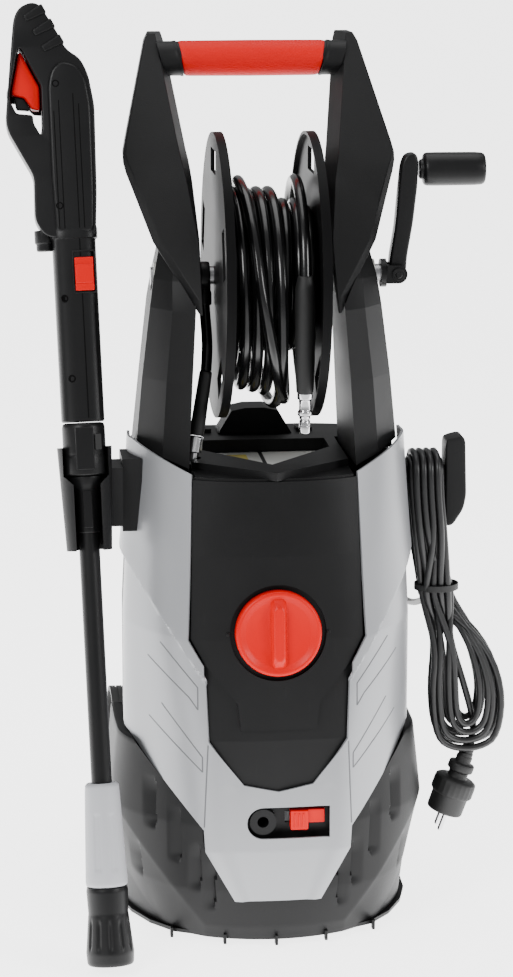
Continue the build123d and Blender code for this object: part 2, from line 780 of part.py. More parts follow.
# ---- mains cord ----------------------------------------------------------------------
# Each row: height, middle x, half width and half depth of the hanging hank.
hank_rows = (
    (472.0, 162.0, 12.0, 15.0),
    (462.0, 161.5, 18.0, 20.0),
    (430.0, 163.0, 18.5, 20.0),
    (380.0, 169.0, 19.0, 15.0),
    (334.0, 176.5, 19.5, 12.5),
    (275.0, 191.0, 28.0, 12.5),
    (225.0, 208.0, 35.0, 12.5),
    (192.0, 213.0, 27.0, 11.5),
    (178.0, 215.0, 14.0, 8.0),
)


def make_cord_hank():
    """Hanging hank of mains cord over the hook, gathered at its tie."""
    faces = []
    for z, middle, half_width, half_depth in hank_rows:
        faces.append(Pos(middle, hank_y, z) * make_face(Ellipse(half_width, half_depth).edges()))
    hank = ruled(faces)
    hank -= box(181.7, 260, hank_y - 40, hank_y + 40, 398.5, 500)
    arm_half = 9 + fit_gap
    return hank - box(120, 181.7, hank_y - arm_half, hank_y + arm_half, hook_z - 48, hook_z + 8 + fit_gap)


def make_cord_tie():
    """Twist tie round the hank."""
    outer = Pos(176.5, hank_y, 332.5) * extrude(Ellipse(22.5, 15.5), amount=3)
    inner = Pos(176.5, hank_y, 330) * extrude(Ellipse(20.2, 13.2), amount=8)
    return outer - inner


lead_points = [(80, 220, 300), (80, 266, 297), (122, 290, 288), (164, 266, 280), (168, 218, 278),
               (172, 170, 286), (175, 120, 304), (176, 71, 322)]
tail_points = [(217.5, 60, 181), (216.2, 60, 174), (214.3, 60, 165.9)]


def tube_along(name, points, radius):
    """Tube along straight runs joined by arcs as large as the runs allow."""
    vectors = [Vector(*point) for point in points]
    radii = []
    for before, here, after in zip(vectors, vectors[1:], vectors[2:]):
        turn = (here - before).get_angle(after - here)
        shorter = min((here - before).length, (after - here).length)
        radii.append(0.45 * shorter / tan(radians(turn) / 2))
    path = FilletPolyline(*points, radius=radii)
    tube = sweep(Plane(origin=path @ 0, z_dir=path % 0) * Circle(radius), path=path)
    print(name, "radii", [round(r) for r in radii], "length", round(path.length),
          "volume ratio", round(tube.volume / (pi * radius ** 2 * path.length), 3))
    return tube


def make_cord_relief():
    """Ribbed strain relief where the cord leaves the rear shell."""
    relief = Pos(80, 205, 300) * Rot(-90, 0, 0) * Cone(8, 4.6, 30)
    relief -= housing_block()
    return relief + (rod_y(9, 186, 192, 80, 300) - housing_block())


plug_top = (214.3, 60.0, 165.9)
plug_direction = (-0.34, 0.0, -0.94)


def on_plug(part):
    """Carry a part onto the plug's axis."""
    return Plane(origin=plug_top, z_dir=plug_direction, x_dir=(0.94, 0, -0.34)) * part


def make_plug_body():
    """Two-pin earthed plug: relief, collar, round shield and face."""
    body = Pos(0, 0, 11) * Cone(5.5, 8.5, 22)
    body += rod_z(13.5, 22, 31, 0, 0) + rod_z(10, 30, 40, 0, 0) + rod_z(22, 39, 57, 0, 0)
    body += rod_z(18.7, 56, 77, 0, 0)
    for side in (-1, 1):
        body -= rod_z(plug_shank_radius + 0.01, 67, 80, 0, side * plug_pin_place)
    return on_plug(body)


plug_pin_radius = 2.4
plug_shank_radius = 1.8
plug_pin_length = 19.0
plug_pin_place = 9.5
plug_face = 77.0


def make_plug_pins():
    """Two round plug pins, each with a thinner shank moulded into the plug."""
    pins = []
    for side in (-1, 1):
        place = side * plug_pin_place
        pin = rod_z(plug_pin_radius, plug_face, plug_face + plug_pin_length, 0, place)
        pins.append(on_plug(pin + rod_z(plug_shank_radius, 67.3, plug_face, 0, place)))
    return pins


# ---- gun -----------------------------------------------------------------------------
# Outlines in the gun's own frame: x across, z up along the barrel.
handle_outline = [(-21.0, 704.0), (-29.0, 708.0), (-36.5, 721.0), (-35.3, 763.0), (-58.0, 807.0),
                  (-59.6, 819.0), (-53.0, 872.0), (-47.5, 915.0), (-42.0, 925.0), (-31.0, 930.0),
                  (-22.0, 928.0), (-14.4, 915.0), (-5.0, 898.0), (1.0, 884.0), (14.5, 875.0),
                  (21.5, 859.0), (26.0, 829.0), (24.0, 746.0), (21.0, 704.0)]
finger_hole = [(-44.5, 886.0), (-54.0, 846.0), (-54.5, 836.0), (-49.0, 824.0), (-33.5, 822.0), (-33.0, 814.0),
               (-27.0, 802.5), (-25.0, 810.0), (-24.6, 850.0), (-33.0, 867.0), (-42.0, 886.0)]
trigger_outline = [(-44.0, 883.0), (-53.0, 845.0), (-52.0, 842.5), (-40.5, 839.5), (-33.5, 828.0),
                   (-26.0, 827.0), (-25.6, 849.0), (-34.0, 866.0), (-42.0, 884.0)]
lock_outline = [(-51.0, 841.7), (-41.0, 839.2), (-35.0, 829.5), (-36.5, 827.5), (-48.5, 829.0)]
trigger_half = 6.0
trigger_pivot = (-41.0, 877.0)
valve_radius = 8.0


def make_gun_body():
    """Whole gun body before it is split into two halves."""
    handle = front_prism(handle_outline, -gun_depth_half, gun_depth_half)
    fore = box(-gun_body_half, gun_body_half, -gun_depth_half, gun_depth_half, collar_top + 2, 705)
    fore &= rod_z(25.5, 500, 710, 0, 0)
    body = handle + fore
    body -= front_prism(finger_hole, -60, 60)
    pocket = [(-44.5, 887.0), (-38, 889), (-14, 866), (-12, 822), (-26, 822), (-26, 850)]
    body -= front_prism(pocket, -trigger_half - 0.6, trigger_half + 0.6)
    body -= rod_z(valve_radius + fit_gap, 700 - fit_gap, 800, 4, 0)
    body -= rod_z(5.5, 560, 701, 4, 0)
    body -= rod_z(9.3, 500, 560, 0, 0)
    body -= rod_z(8 + 0.02, 690, 726, -28, 0)
    body -= rod_y(2.5 + 0.01, -15, 15, trigger_pivot[0], trigger_pivot[1])
    body -= box(-1.5, 17.5, -30, -15.5, 651.5, 689)
    for x, z in gun_screw_places:
        body -= rod_y(3, -30, -gun_depth_half + 5, x, z) + rod_y(1.6, -gun_depth_half + 4, -6, x, z)
    return body


gun_screw_places = ((-10.5, 851.0), (-12.3, 734.0), (-12.3, 645.0), (-9.0, 568.0))


def make_gun_halves():
    """Front and back moulded halves of the gun."""
    body = make_gun_body()
    front = body & box(-80, 80, -40, 0, 500, 950)
    back = body & box(-80, 80, 0, 40, 500, 950)
    return on_gun(front), on_gun(back)


def make_gun_screws():
    """Screws that hold the gun's halves together."""
    screws = []
    for x, z in gun_screw_places:
        screw = rod_y(2.8, -gun_depth_half + 2, -gun_depth_half + 5, x, z)
        screws.append(on_gun(screw + rod_y(1.5, -gun_depth_half + 4.9, -6.5, x, z)))
    return screws


def make_trigger():
    """Red trigger on its pin."""
    trigger = front_prism(trigger_outline, -trigger_half, trigger_half)
    return on_gun(trigger - rod_y(2.5 + running, -20, 20, trigger_pivot[0], trigger_pivot[1]))


def make_trigger_pin():
    """Pin that the trigger turns on."""
    return on_gun(rod_y(2.5, -14.7, 14.7, trigger_pivot[0], trigger_pivot[1]))


def make_trigger_lock():
    """Small lock lever under the trigger."""
    return on_gun(front_prism(lock_outline, -trigger_half + 1, trigger_half - 1))


def make_gun_valve():
    """Valve body and pipe inside the gun."""
    return on_gun(rod_z(valve_radius, 700, 799, 4, 0) + rod_z(5, 561, 701, 4, 0))


def make_lance_release():
    """Red slide button that frees the lance."""
    button = box(-1, 17, -gun_depth_half - 3, -15.8, 652, 684)
    button += box(-1, 17, -gun_depth_half - 5, -gun_depth_half - 2.9, 659, 677)
    return on_gun(button)


def make_hose_inlet():
    """Brass socket in the gun's boss for the hose."""
    return on_gun(rod_z(8, 694, 726, -28, 0) - rod_z(outlet_bore, 690, 716, -28, 0))


def make_lance_collar():
    """Bayonet collar at the top of the lance."""
    collar = rod_z(20.8, collar_bottom + fit_gap, collar_top + 1.7, 0, 0) + rod_z(9, collar_top, 558, 0, 0)
    return on_gun(collar)


def make_lance_tube():
    """Lance pipe from the collar down into the nozzle head."""
    return on_gun(rod_z(lance_radius, nozzle_length - 12, collar_bottom, 0, 0))


def make_lance_taper():
    """Tapered moulding below the collar."""
    taper = Pos(0, 0, 446) * Cone(11.2, 12.8, 54)
    return on_gun(taper - rod_z(lance_radius + 0.02, 400, 480, 0, 0))


def make_nozzle_sleeve():
    """Light grey hand grip above the nozzle."""
    sleeve = Pos(0, 0, nozzle_length + fit_gap + sleeve_length / 2) * Cone(20.4, 16.5, sleeve_length)
    return on_gun(sleeve - rod_z(lance_radius + 0.02, 60, 190, 0, 0))


def make_nozzle_head():
    """Adjustable nozzle head that turns on the lance."""
    head = Pos(0, 0, 6) * Cone(22.6, 23.4, 12)
    head += Pos(0, 0, 31) * Cone(23.4, 19.4, 38)
    head += Pos(0, 0, 63) * Cone(19.4, 20.3, 26)
    head -= rod_z(15, -1, 48, 0, 0)
    head -= rod_z(6.02, 40, 70, 0, 0)
    return on_gun(head - rod_z(lance_radius + running, nozzle_length - 14, 90, 0, 0))


def make_nozzle_jet():
    """Brass jet in the nozzle head."""
    return on_gun(rod_z(6, 44, 61.5, 0, 0) - rod_z(1.2, 40, 65, 0, 0))


# ---- write every sub-part -------------------------------------------------------------
def write_body():
    """Base, housing, columns, arms and handle."""
    base_shell = make_base_shell()
    for block in make_axle_blocks() + make_rib_feet():
        base_shell += block
    save("base_shell", base_shell)
    save("base_plate", make_base_plate())
    save("front_foot", make_front_foot())
    save("front_cover", make_front_cover())
    save("lower_panel", make_lower_panel())
    save("centre_panel", make_centre_panel())
    save("rear_shell", make_rear_shell())
    save("top_tray", make_top_tray())
    right_arm = make_arm()
    right_column = make_column(right_arm)
    save("left_column", mirror_x(right_column))
    save("right_column", right_column)
    save("left_arm", mirror_x(right_arm))
    save("right_arm", right_arm)
    save("handle_bar", make_handle_bar() - right_arm - mirror_x(right_arm))
    save("handle_grip", make_grip())


def write_reel():
    """Hose reel, its hose, the link from the pump and the crank."""
    bush = make_bush(71, 109)
    flange = make_flange()
    save("axle_bushes", mirror_x(bush), bush)
    save("reel_axle", rod_x(reel_axle_radius, -112, 120, reel_y, reel_z))
    save("reel_flanges", mirror_x(flange), flange)
    save("reel_drum", make_drum())
    save("hose_winding", make_winding())
    save("hose_end_sleeve", make_hose_sleeve())
    save("hose_nipple", make_hose_nipple())
    save("link_fittings", make_swivel(), *make_link_hose_parts())
    save("link_hose", tube_along("link hose", link_points, hose_radius))
    save("crank_hub", make_crank_hub(), make_crank_pivot())
    save("crank_arm", make_crank_arm(), make_crank_pin())
    save("crank_knob", make_crank_knob())


def write_works():
    """Switch, outlet, motor, pump and water inlet."""
    save("switch_knob", make_switch_knob())
    save("rotary_switch", make_rotary_switch())
    save("outlet_socket", make_outlet_socket(), make_outlet_frame())
    save("outlet_lock", make_outlet_lock())
    save("motor_case", make_motor_case(), make_fan_cover())
    save("motor_rotor", make_motor_rotor(), make_swash_plate())
    save("motor_fan", make_motor_fan())
    save("pump_body", make_pump_body())
    save("pump_head", make_pump_head(), make_outlet_pipe(), *make_valve_caps())
    save("motor_electrics", make_capacitor(), make_pressure_switch())
    save("water_inlet", make_inlet_connector(), make_inlet_pipe())


def write_wheels():
    """Wheels and their axle with its caps."""
    wheel = make_wheel()
    cap = make_wheel_cap()
    save("left_wheel", mirror_x(wheel))
    save("right_wheel", wheel)
    save("wheel_axle", rod_x(axle_radius, -149, 149, wheel_y, wheel_radius), cap, mirror_x(cap))


def write_cord():
    """Hook, mains cord, tie and plug."""
    save("cord_hook", make_cord_hook())
    save("cord_relief", make_cord_relief())
    save("cord_lead", tube_along("lead", lead_points, cord_radius))
    save("cord_tail", tube_along("tail", tail_points, cord_radius))
    save("cord_hank", make_cord_hank())
    save("cord_tie", make_cord_tie())
    save("plug_body", make_plug_body())
    save("plug_pins", *make_plug_pins())


def write_gun():
    """Gun, lance and nozzle in their holder."""
    gun_front, gun_back = make_gun_halves()
    save("gun_holder", make_gun_holder(), make_holder_plate())
    save("gun_front", gun_front)
    save("gun_back", gun_back)
    save("gun_screws", *make_gun_screws(), make_trigger_pin())
    save("gun_trigger", make_trigger())
    save("trigger_lock", make_trigger_lock())
    save("lance_release", make_lance_release())
    save("gun_valve", make_gun_valve(), make_hose_inlet())
    save("lance_collar", make_lance_collar(), make_lance_taper())
    save("lance_tube", make_lance_tube())
    save("nozzle_sleeve", make_nozzle_sleeve())
    save("nozzle_head", make_nozzle_head(), make_nozzle_jet())


write_body()
write_reel()
write_works()
write_wheels()
write_cord()
write_gun()
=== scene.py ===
# %% [markdown]
# # An upright pressure washer
# The frame comes first: the imported model brings every part at its real size and place.

# %% Load the frame
import json
from math import cos, pi, radians, sin

import bmesh
import bpy
import numpy as np
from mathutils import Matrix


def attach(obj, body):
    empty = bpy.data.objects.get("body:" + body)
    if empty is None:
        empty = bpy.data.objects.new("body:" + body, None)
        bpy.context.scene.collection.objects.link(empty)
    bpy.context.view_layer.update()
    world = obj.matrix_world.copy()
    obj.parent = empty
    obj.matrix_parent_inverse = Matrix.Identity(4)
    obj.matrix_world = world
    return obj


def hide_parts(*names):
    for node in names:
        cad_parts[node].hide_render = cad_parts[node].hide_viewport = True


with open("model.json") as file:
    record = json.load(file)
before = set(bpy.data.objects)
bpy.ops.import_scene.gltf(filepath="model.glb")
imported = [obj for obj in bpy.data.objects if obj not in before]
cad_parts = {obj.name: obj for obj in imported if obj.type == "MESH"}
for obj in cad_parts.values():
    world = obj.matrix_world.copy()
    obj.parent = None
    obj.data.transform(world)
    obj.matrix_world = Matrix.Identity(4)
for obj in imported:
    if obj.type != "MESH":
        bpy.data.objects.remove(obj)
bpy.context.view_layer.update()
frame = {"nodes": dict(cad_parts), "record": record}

MM = 0.001

# %% [markdown]
# The camera stands a little to the left of the machine and looks down on it by about
# thirteen degrees, from almost three metres, so the upright lines stay nearly parallel.
# The long lens is what keeps them that way.

# %% Camera
lens_mm = 108.4
camera_place = (-0.3170, -2.7914, 1.0939)
camera_turn = (radians(77.14), radians(-0.07), radians(-6.19))
camera_data = bpy.data.cameras.new("camera")
camera_data.lens = lens_mm
camera_data.sensor_width = 36.0
camera = bpy.data.objects.new("camera", camera_data)
camera.location = camera_place
camera.rotation_euler = camera_turn
bpy.context.collection.objects.link(camera)
bpy.context.scene.camera = camera
print("camera", camera_place)

# %% [markdown]
# A washer like this is mostly one texture: moulded black plastic, spark-eroded in the
# mould so it has a fine even grain. One node group makes that grain and the faint uneven
# tone that handling leaves, and every plastic takes it with its own numbers.

# %% Shared shader groups
def new_group(name, inputs, outputs):
    """Empty shader group with named sockets: (name, type, default)."""
    group = bpy.data.node_groups.new(name, "ShaderNodeTree")
    for label, kind, value in inputs:
        socket = group.interface.new_socket(name=label, in_out="INPUT", socket_type="NodeSocket" + kind)
        if value is not None:
            socket.default_value = value
    for label, kind in outputs:
        group.interface.new_socket(name=label, in_out="OUTPUT", socket_type="NodeSocket" + kind)
    return group, group.nodes.new("NodeGroupInput"), group.nodes.new("NodeGroupOutput")


def math_node(tree, operation, a, b=None, clamp=False):
    """Math node whose inputs are sockets or numbers; gives its output socket."""
    node = tree.nodes.new("ShaderNodeMath")
    node.operation = operation
    node.use_clamp = clamp
    for place, value in enumerate((a, b)):
        if value is None:
            continue
        if isinstance(value, (int, float)):
            node.inputs[place].default_value = value
        else:
            tree.links.new(value, node.inputs[place])
    return node.outputs[0]


def noise_node(tree, vector, scale, detail=3.0, roughness=0.5):
    """Noise texture on a vector; scale is a socket or a number."""
    node = tree.nodes.new("ShaderNodeTexNoise")
    node.inputs["Detail"].default_value = detail
    node.inputs["Roughness"].default_value = roughness
    tree.links.new(vector, node.inputs["Vector"])
    if isinstance(scale, (int, float)):
        node.inputs["Scale"].default_value = scale
    else:
        tree.links.new(scale, node.inputs["Scale"])
    return node.outputs["Fac"]


def mix_colour(tree, factor, a, b):
    """Mix of two colours by a factor socket; a and b are sockets or colours."""
    node = tree.nodes.new("ShaderNodeMix")
    node.data_type = "RGBA"
    tree.links.new(factor, node.inputs["Factor"])
    for name, value in (("A", a), ("B", b)):
        socket = next(s for s in node.inputs if s.name == name and s.type == "RGBA")
        if isinstance(value, tuple):
            socket.default_value = value
        else:
            tree.links.new(value, socket)
    return next(s for s in node.outputs if s.type == "RGBA")


def make_moulded_grain():
    """Tone = slow noise, scuffs = stretched noise above a limit, height = fine noise."""
    group, inside, outside = new_group(
        "moulded grain",
        [("Vector", "Vector", None), ("Colour", "Color", (0.03, 0.03, 0.03, 1)), ("Tone", "Float", 0.25),
         ("Gloss", "Float", 0.5), ("Grain size", "Float", 900.0), ("Scuffs", "Float", 0.3)],
        [("Colour", "Color"), ("Roughness", "Float"), ("Height", "Float")])
    vector = inside.outputs["Vector"]
    fine = noise_node(group, vector, inside.outputs["Grain size"], 2.0)
    slow = noise_node(group, vector, 14.0, 4.0, 0.6)
    stretch = group.nodes.new("ShaderNodeMapping")
    stretch.inputs["Scale"].default_value = (1.0, 1.0, 0.12)
    group.links.new(vector, stretch.inputs["Vector"])
    streak = noise_node(group, stretch.outputs["Vector"], 260.0, 2.0)
    scuff = math_node(group, "MULTIPLY", math_node(group, "SUBTRACT", streak, 0.66, True), 5.0, True)
    scuff = math_node(group, "MULTIPLY", scuff, inside.outputs["Scuffs"], True)
    tone = math_node(group, "MULTIPLY", math_node(group, "SUBTRACT", slow, 0.42, True),
                     inside.outputs["Tone"], True)
    lighter = mix_colour(group, tone, inside.outputs["Colour"], (0.55, 0.55, 0.56, 1.0))
    worn = mix_colour(group, math_node(group, "MULTIPLY", scuff, 0.16), lighter, (0.6, 0.6, 0.6, 1.0))
    group.links.new(worn, outside.inputs["Colour"])
    gloss = math_node(group, "ADD", inside.outputs["Gloss"], math_node(group, "MULTIPLY", slow, 0.12))
    gloss = math_node(group, "ADD", gloss, math_node(group, "MULTIPLY", fine, 0.05))
    group.links.new(math_node(group, "ADD", gloss, math_node(group, "MULTIPLY", scuff, 0.12), True),
                    outside.inputs["Roughness"])
    group.links.new(math_node(group, "SUBTRACT", fine, math_node(group, "MULTIPLY", scuff, 0.5)),
                    outside.inputs["Height"])
    return group


moulded_grain = make_moulded_grain()
print("group", moulded_grain.name)

# %% [markdown]
# Each finish is one material: a base tone through the shared grain, then a shader whose
# constant numbers sit on its own sockets. The bump is a fraction of a millimetre deep.

# %% Finishes
def finish(name, colour, gloss=0.5, grain=900.0, bump=0.12, tone=0.05, scuffs=0.3, metallic=0.0, coat=0.0,
           specular=0.5):
    """Material from a colour, a roughness and the shared grain."""
    material = bpy.data.materials.new(name)
    material.use_nodes = True
    tree = material.node_tree
    shader = tree.nodes["Principled BSDF"]
    place = tree.nodes.new("ShaderNodeTexCoord")
    grain_node = tree.nodes.new("ShaderNodeGroup")
    grain_node.node_tree = moulded_grain
    tree.links.new(place.outputs["Object"], grain_node.inputs["Vector"])
    for label, value in (("Colour", (*colour, 1.0)), ("Tone", tone), ("Gloss", gloss),
                         ("Grain size", grain), ("Scuffs", scuffs)):
        grain_node.inputs[label].default_value = value
    raised = tree.nodes.new("ShaderNodeBump")
    raised.inputs["Strength"].default_value = bump
    raised.inputs["Distance"].default_value = 0.0004
    tree.links.new(grain_node.outputs["Height"], raised.inputs["Height"])
    tree.links.new(grain_node.outputs["Colour"], shader.inputs["Base Color"])
    tree.links.new(grain_node.outputs["Roughness"], shader.inputs["Roughness"])
    tree.links.new(raised.outputs["Normal"], shader.inputs["Normal"])
    shader.inputs["Metallic"].default_value = metallic
    shader.inputs["Coat Weight"].default_value = coat
    shader.inputs["Coat Roughness"].default_value = 0.25
    shader.inputs["Specular IOR Level"].default_value = specular
    return material


finishes = {
    "black_shell": finish("black shell", (0.0055, 0.0055, 0.0058), gloss=0.4, bump=0.3, tone=0.005,
                          scuffs=0.03, specular=0.22),
    "satin_black": finish("satin black", (0.0045, 0.0045, 0.0048), gloss=0.3, bump=0.2, tone=0.004,
                          scuffs=0.03, specular=0.25),
    "silver_shell": finish("silver paint", (0.31, 0.315, 0.328), gloss=0.3, grain=2600.0, bump=0.06,
                           tone=0.08,
                           scuffs=0.15, metallic=0.35, coat=0.15),
    "red_plastic": finish("red plastic", (0.66, 0.0, 0.0), gloss=0.25, bump=0.06, tone=0.001, scuffs=0.01,
                          specular=0.2),
    "grey_plastic": finish("grey plastic", (0.40, 0.405, 0.425), gloss=0.4, bump=0.12, tone=0.05),
    "rubber": finish("black rubber", (0.0062, 0.0062, 0.0062), gloss=0.5, bump=0.3, tone=0.006, scuffs=0.1),
    "hose_rubber": finish("hose rubber", (0.004, 0.004, 0.0043), gloss=0.13, grain=500.0, bump=0.08,
                          tone=0.004, scuffs=0.03),
    "cord_rubber": finish("cord rubber", (0.0056, 0.0056, 0.006), gloss=0.3, grain=700.0, bump=0.1,
                          tone=0.005, scuffs=0.05),
    "wheel_plastic": finish("wheel plastic", (0.0075, 0.0075, 0.0075), gloss=0.45, bump=0.3, tone=0.01,
                            scuffs=0.4),
    "chrome": finish("plated brass", (0.72, 0.72, 0.73), gloss=0.08, bump=0.03, metallic=1.0),
    "steel": finish("plain steel", (0.45, 0.45, 0.46), gloss=0.28, bump=0.06, metallic=1.0, scuffs=0.6),
    "bush_plastic": finish("bush plastic", (0.5, 0.5, 0.47), gloss=0.4),
    "inner_plastic": finish("inner plastic", (0.05, 0.05, 0.05), gloss=0.45),
    "cast_alloy": finish("cast alloy", (0.5, 0.5, 0.51), gloss=0.45, bump=0.4, metallic=0.9),
    "brass": finish("turned brass", (0.6, 0.42, 0.16), gloss=0.25, metallic=1.0),
    "label": finish("blank label", (0.72, 0.72, 0.68), gloss=0.4, tone=0.05),
    "label_yellow": finish("blank yellow label", (0.75, 0.62, 0.12), gloss=0.4, tone=0.05),
    "shadow_line": finish("joint shadow", (0.11, 0.112, 0.118), gloss=0.5, bump=0.05),
    "reel_black": finish("reel black", (0.0048, 0.0048, 0.005), gloss=0.34, bump=0.2, tone=0.004,
                         scuffs=0.03, specular=0.06),
    # Painted shade: a near-black finish for strips and discs that stand for the shadow in grooves and sunk
    # screw holes on the black plastics.
    "groove_shade": finish("painted groove shade", (0.0012, 0.0012, 0.0012), gloss=0.7, bump=0.05, tone=0.001,
                        scuffs=0.02, specular=0.1),
}
print("finishes", len(finishes))

# %% [markdown]
# The red hand grip is a soft over-moulding with rows of fine dots, so a hand doesn't slip.
# The dots are a wave pattern across and along the bar, cut off to leave round bumps.

# %% Dotted grip material
def make_dotted_grip():
    """Height = product of two waves, along the bar and round it, added to the grain."""
    material = finish("dotted red grip", (0.66, 0.0, 0.0), gloss=0.4, bump=0.5, tone=0.001, scuffs=0.01,
                      specular=0.18)
    tree = material.node_tree
    place = next(n for n in tree.nodes if n.type == "TEX_COORD")
    waves = []
    for axis, step in (("X", 0.0030), ("Z", 0.0030)):
        parts = tree.nodes.new("ShaderNodeSeparateXYZ")
        tree.links.new(place.outputs["Object"], parts.inputs["Vector"])
        turned_value = math_node(tree, "MULTIPLY", parts.outputs[axis], 2 * pi / step)
        waves.append(math_node(tree, "SINE", turned_value))
    dots = math_node(tree, "MULTIPLY", waves[0], waves[1])
    dots = math_node(tree, "MULTIPLY", math_node(tree, "SUBTRACT", dots, 0.25, True), 1.6, True)
    raised = next(n for n in tree.nodes if n.type == "BUMP")
    fine = next(n for n in tree.nodes if n.type == "GROUP").outputs["Height"]
    total = math_node(tree, "ADD", math_node(tree, "MULTIPLY", fine, 0.2), dots)
    tree.links.new(total, raised.inputs["Height"])
    return material


finishes["red_grip"] = make_dotted_grip()
print("grip dots ready")

# %% [markdown]
# The CAD nodes whose shapes are right stay, and only take their finish.

# %% Finish the CAD nodes
slot_of = {part["node"]: part["material_slot"] for part in frame["record"]["subparts"]}
for node, piece in frame["nodes"].items():
    piece.data.materials.clear()
    piece.data.materials.append(finishes[slot_of[node]])
print("finished nodes", len(slot_of))

# %% [markdown]
# Every new piece is a grid of points that a formula places, so one small set of helpers
# turns arrays into meshes, gives them a finish and sets them to ride on their body.

# %% Mesh helpers
def mesh_piece(name, points, faces):
    """Object whose mesh has these points (n by 3, metres) and faces."""
    mesh = bpy.data.meshes.new(name)
    mesh.from_pydata(points.reshape(-1, 3).tolist(), [], [list(map(int, face)) for face in faces])
    mesh.update()
    piece = bpy.data.objects.new(name, mesh)
    bpy.context.collection.objects.link(piece)
    return piece


def grid_faces(rows, columns, closed=True):
    """Quads between neighbours of a grid; closed joins the last column to the first."""
    row, column = np.meshgrid(np.arange(rows - 1), np.arange(columns - (not closed)), indexing="ij")
    here = row * columns + column
    beside = row * columns + (column + 1) % columns
    return np.stack([here, beside, beside + columns, here + columns], -1).reshape(-1, 4)


def outward(piece):
    """Turn the faces of a closed shape outwards, with doubles merged first."""
    work = bmesh.new()
    work.from_mesh(piece.data)
    bmesh.ops.remove_doubles(work, verts=work.verts, dist=1e-6)
    bmesh.ops.recalc_face_normals(work, faces=work.faces)
    work.to_mesh(piece.data)
    work.free()
    return piece


def dress(piece, body, slot, material=None, replaces=(), sharp=35.0, bevel=0.0, segments=3):
    """Finish (the slot's own unless another is named), shading, edge bevel, ride, and the nodes that the
    piece stands for hidden.
    """
    piece.data.materials.clear()
    piece.data.materials.append(finishes[material or slot])
    if piece.type == "MESH":
        piece.data.shade_smooth()
        piece.data.set_sharp_from_angle(angle=radians(sharp))
    if bevel:
        edge = piece.modifiers.new("edge", "BEVEL")
        edge.width = bevel * MM
        edge.segments = segments
        edge.limit_method = "ANGLE"
        edge.angle_limit = radians(28)
        edge.harden_normals = True
    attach(piece, body)
    if replaces:
        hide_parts(*replaces)
    return piece


def skin(name, rings):
    """Closed shape through rings of equal length (n, m, 3), with a face over each end."""
    rings = np.asarray(rings, float)
    count, columns = rings.shape[:2]
    faces = [list(face) for face in grid_faces(count, columns)]
    faces.append(list(range(columns)))
    faces.append([(count - 1) * columns + column for column in range(columns)])
    return outward(mesh_piece(name, rings * MM, faces))


def soften(profile, size):
    """Profile with each corner cut by size on both sides, so turned edges catch light."""
    profile = np.asarray(profile, float)
    out = [profile[0]]
    for before, here, after in zip(profile, profile[1:], profile[2:]):
        for other in (before, after):
            run = other - here
            length = np.hypot(*run)
            out.append(here + run / length * min(size, 0.4 * length))
    return np.array(out + [profile[-1]])


def turned(name, profile, place, segments=64, ripple=None):
    """Surface of revolution: (r cos a, r sin a, h), carried to its place.
    ripple(a, h) is added to the radius. The profile starts and ends on the axis."""
    profile = np.asarray(profile, float)
    angle = np.linspace(0, 2 * pi, segments, endpoint=False)
    radius, height = profile[:, :1], profile[:, 1:]
    grown = radius + (ripple(angle[None, :], height) * (radius > 1) if ripple else 0)
    rings = np.stack([grown * np.cos(angle), grown * np.sin(angle), height + 0 * angle[None, :]], -1)
    return outward(mesh_piece(name, place(rings) * MM, grid_faces(len(profile), segments)))


def beads(heights, step):
    """Heights from the first to the last with at most step between them."""
    out = []
    for low, high in zip(heights, heights[1:]):
        out.extend(np.linspace(low, high, max(2, int(abs(high - low) / step) + 1))[:-1])
    return np.array(out + [heights[-1]])


def rounded(outline, radius, steps=5):
    """Closed outline with each corner replaced by a short quadratic curve."""
    outline = np.asarray(outline, float)
    out = []
    for number in range(len(outline)):
        before, here, after = outline[number - 1], outline[number], outline[(number + 1) % len(outline)]
        ends = []
        for other in (before, after):
            run = other - here
            length = np.hypot(*run)
            ends.append(here + run / length * min(radius, 0.45 * length))
        t = np.linspace(0, 1, steps)[:, None]
        out.append((1 - t) ** 2 * ends[0] + 2 * t * (1 - t) * here + t ** 2 * ends[1])
    return np.concatenate(out)


def plate(name, outlines, low, high, edge, place, steps=3):
    """Flat moulding with round edges: outlines are (a, b) loops, the first the outside and
    the rest holes; the depth runs from low to high and edge is the radius of its edges."""
    curve = bpy.data.curves.new(name, "CURVE")
    curve.dimensions = "2D"
    curve.fill_mode = "BOTH"
    for outline in outlines:
        spline = curve.splines.new("POLY")
        spline.points.add(len(outline) - 1)
        flat = np.concatenate([np.asarray(outline) * MM, np.zeros((len(outline), 1)),
                               np.ones((len(outline), 1))], 1)
        spline.points.foreach_set("co", flat.ravel())
        spline.use_cyclic_u = True
    curve.extrude = ((high - low) / 2 - edge) * MM
    curve.bevel_depth = edge * MM
    curve.bevel_resolution = steps
    curve.offset = -edge * MM
    holder = bpy.data.objects.new(name + "_curve", curve)
    bpy.context.collection.objects.link(holder)
    bpy.context.view_layer.update()
    mesh = bpy.data.meshes.new_from_object(holder.evaluated_get(bpy.context.evaluated_depsgraph_get()))
    bpy.data.objects.remove(holder)
    bpy.data.curves.remove(curve)
    points = np.empty(len(mesh.vertices) * 3)
    mesh.vertices.foreach_get("co", points)
    points = points.reshape(-1, 3) / MM
    depth = points[:, 2] + (high + low) / 2
    mesh.vertices.foreach_set("co", (place(np.stack([points[:, 0], depth, points[:, 1]], -1)) * MM).ravel())
    piece = bpy.data.objects.new(name, mesh)
    bpy.context.collection.objects.link(piece)
    return outward(piece)


print("helpers ready")

# %% [markdown]
# Places: the gun leans back in its holder, the plug hangs at a slant and the switch's dish
# leans with the panel. One function each carries local points to where the piece is.

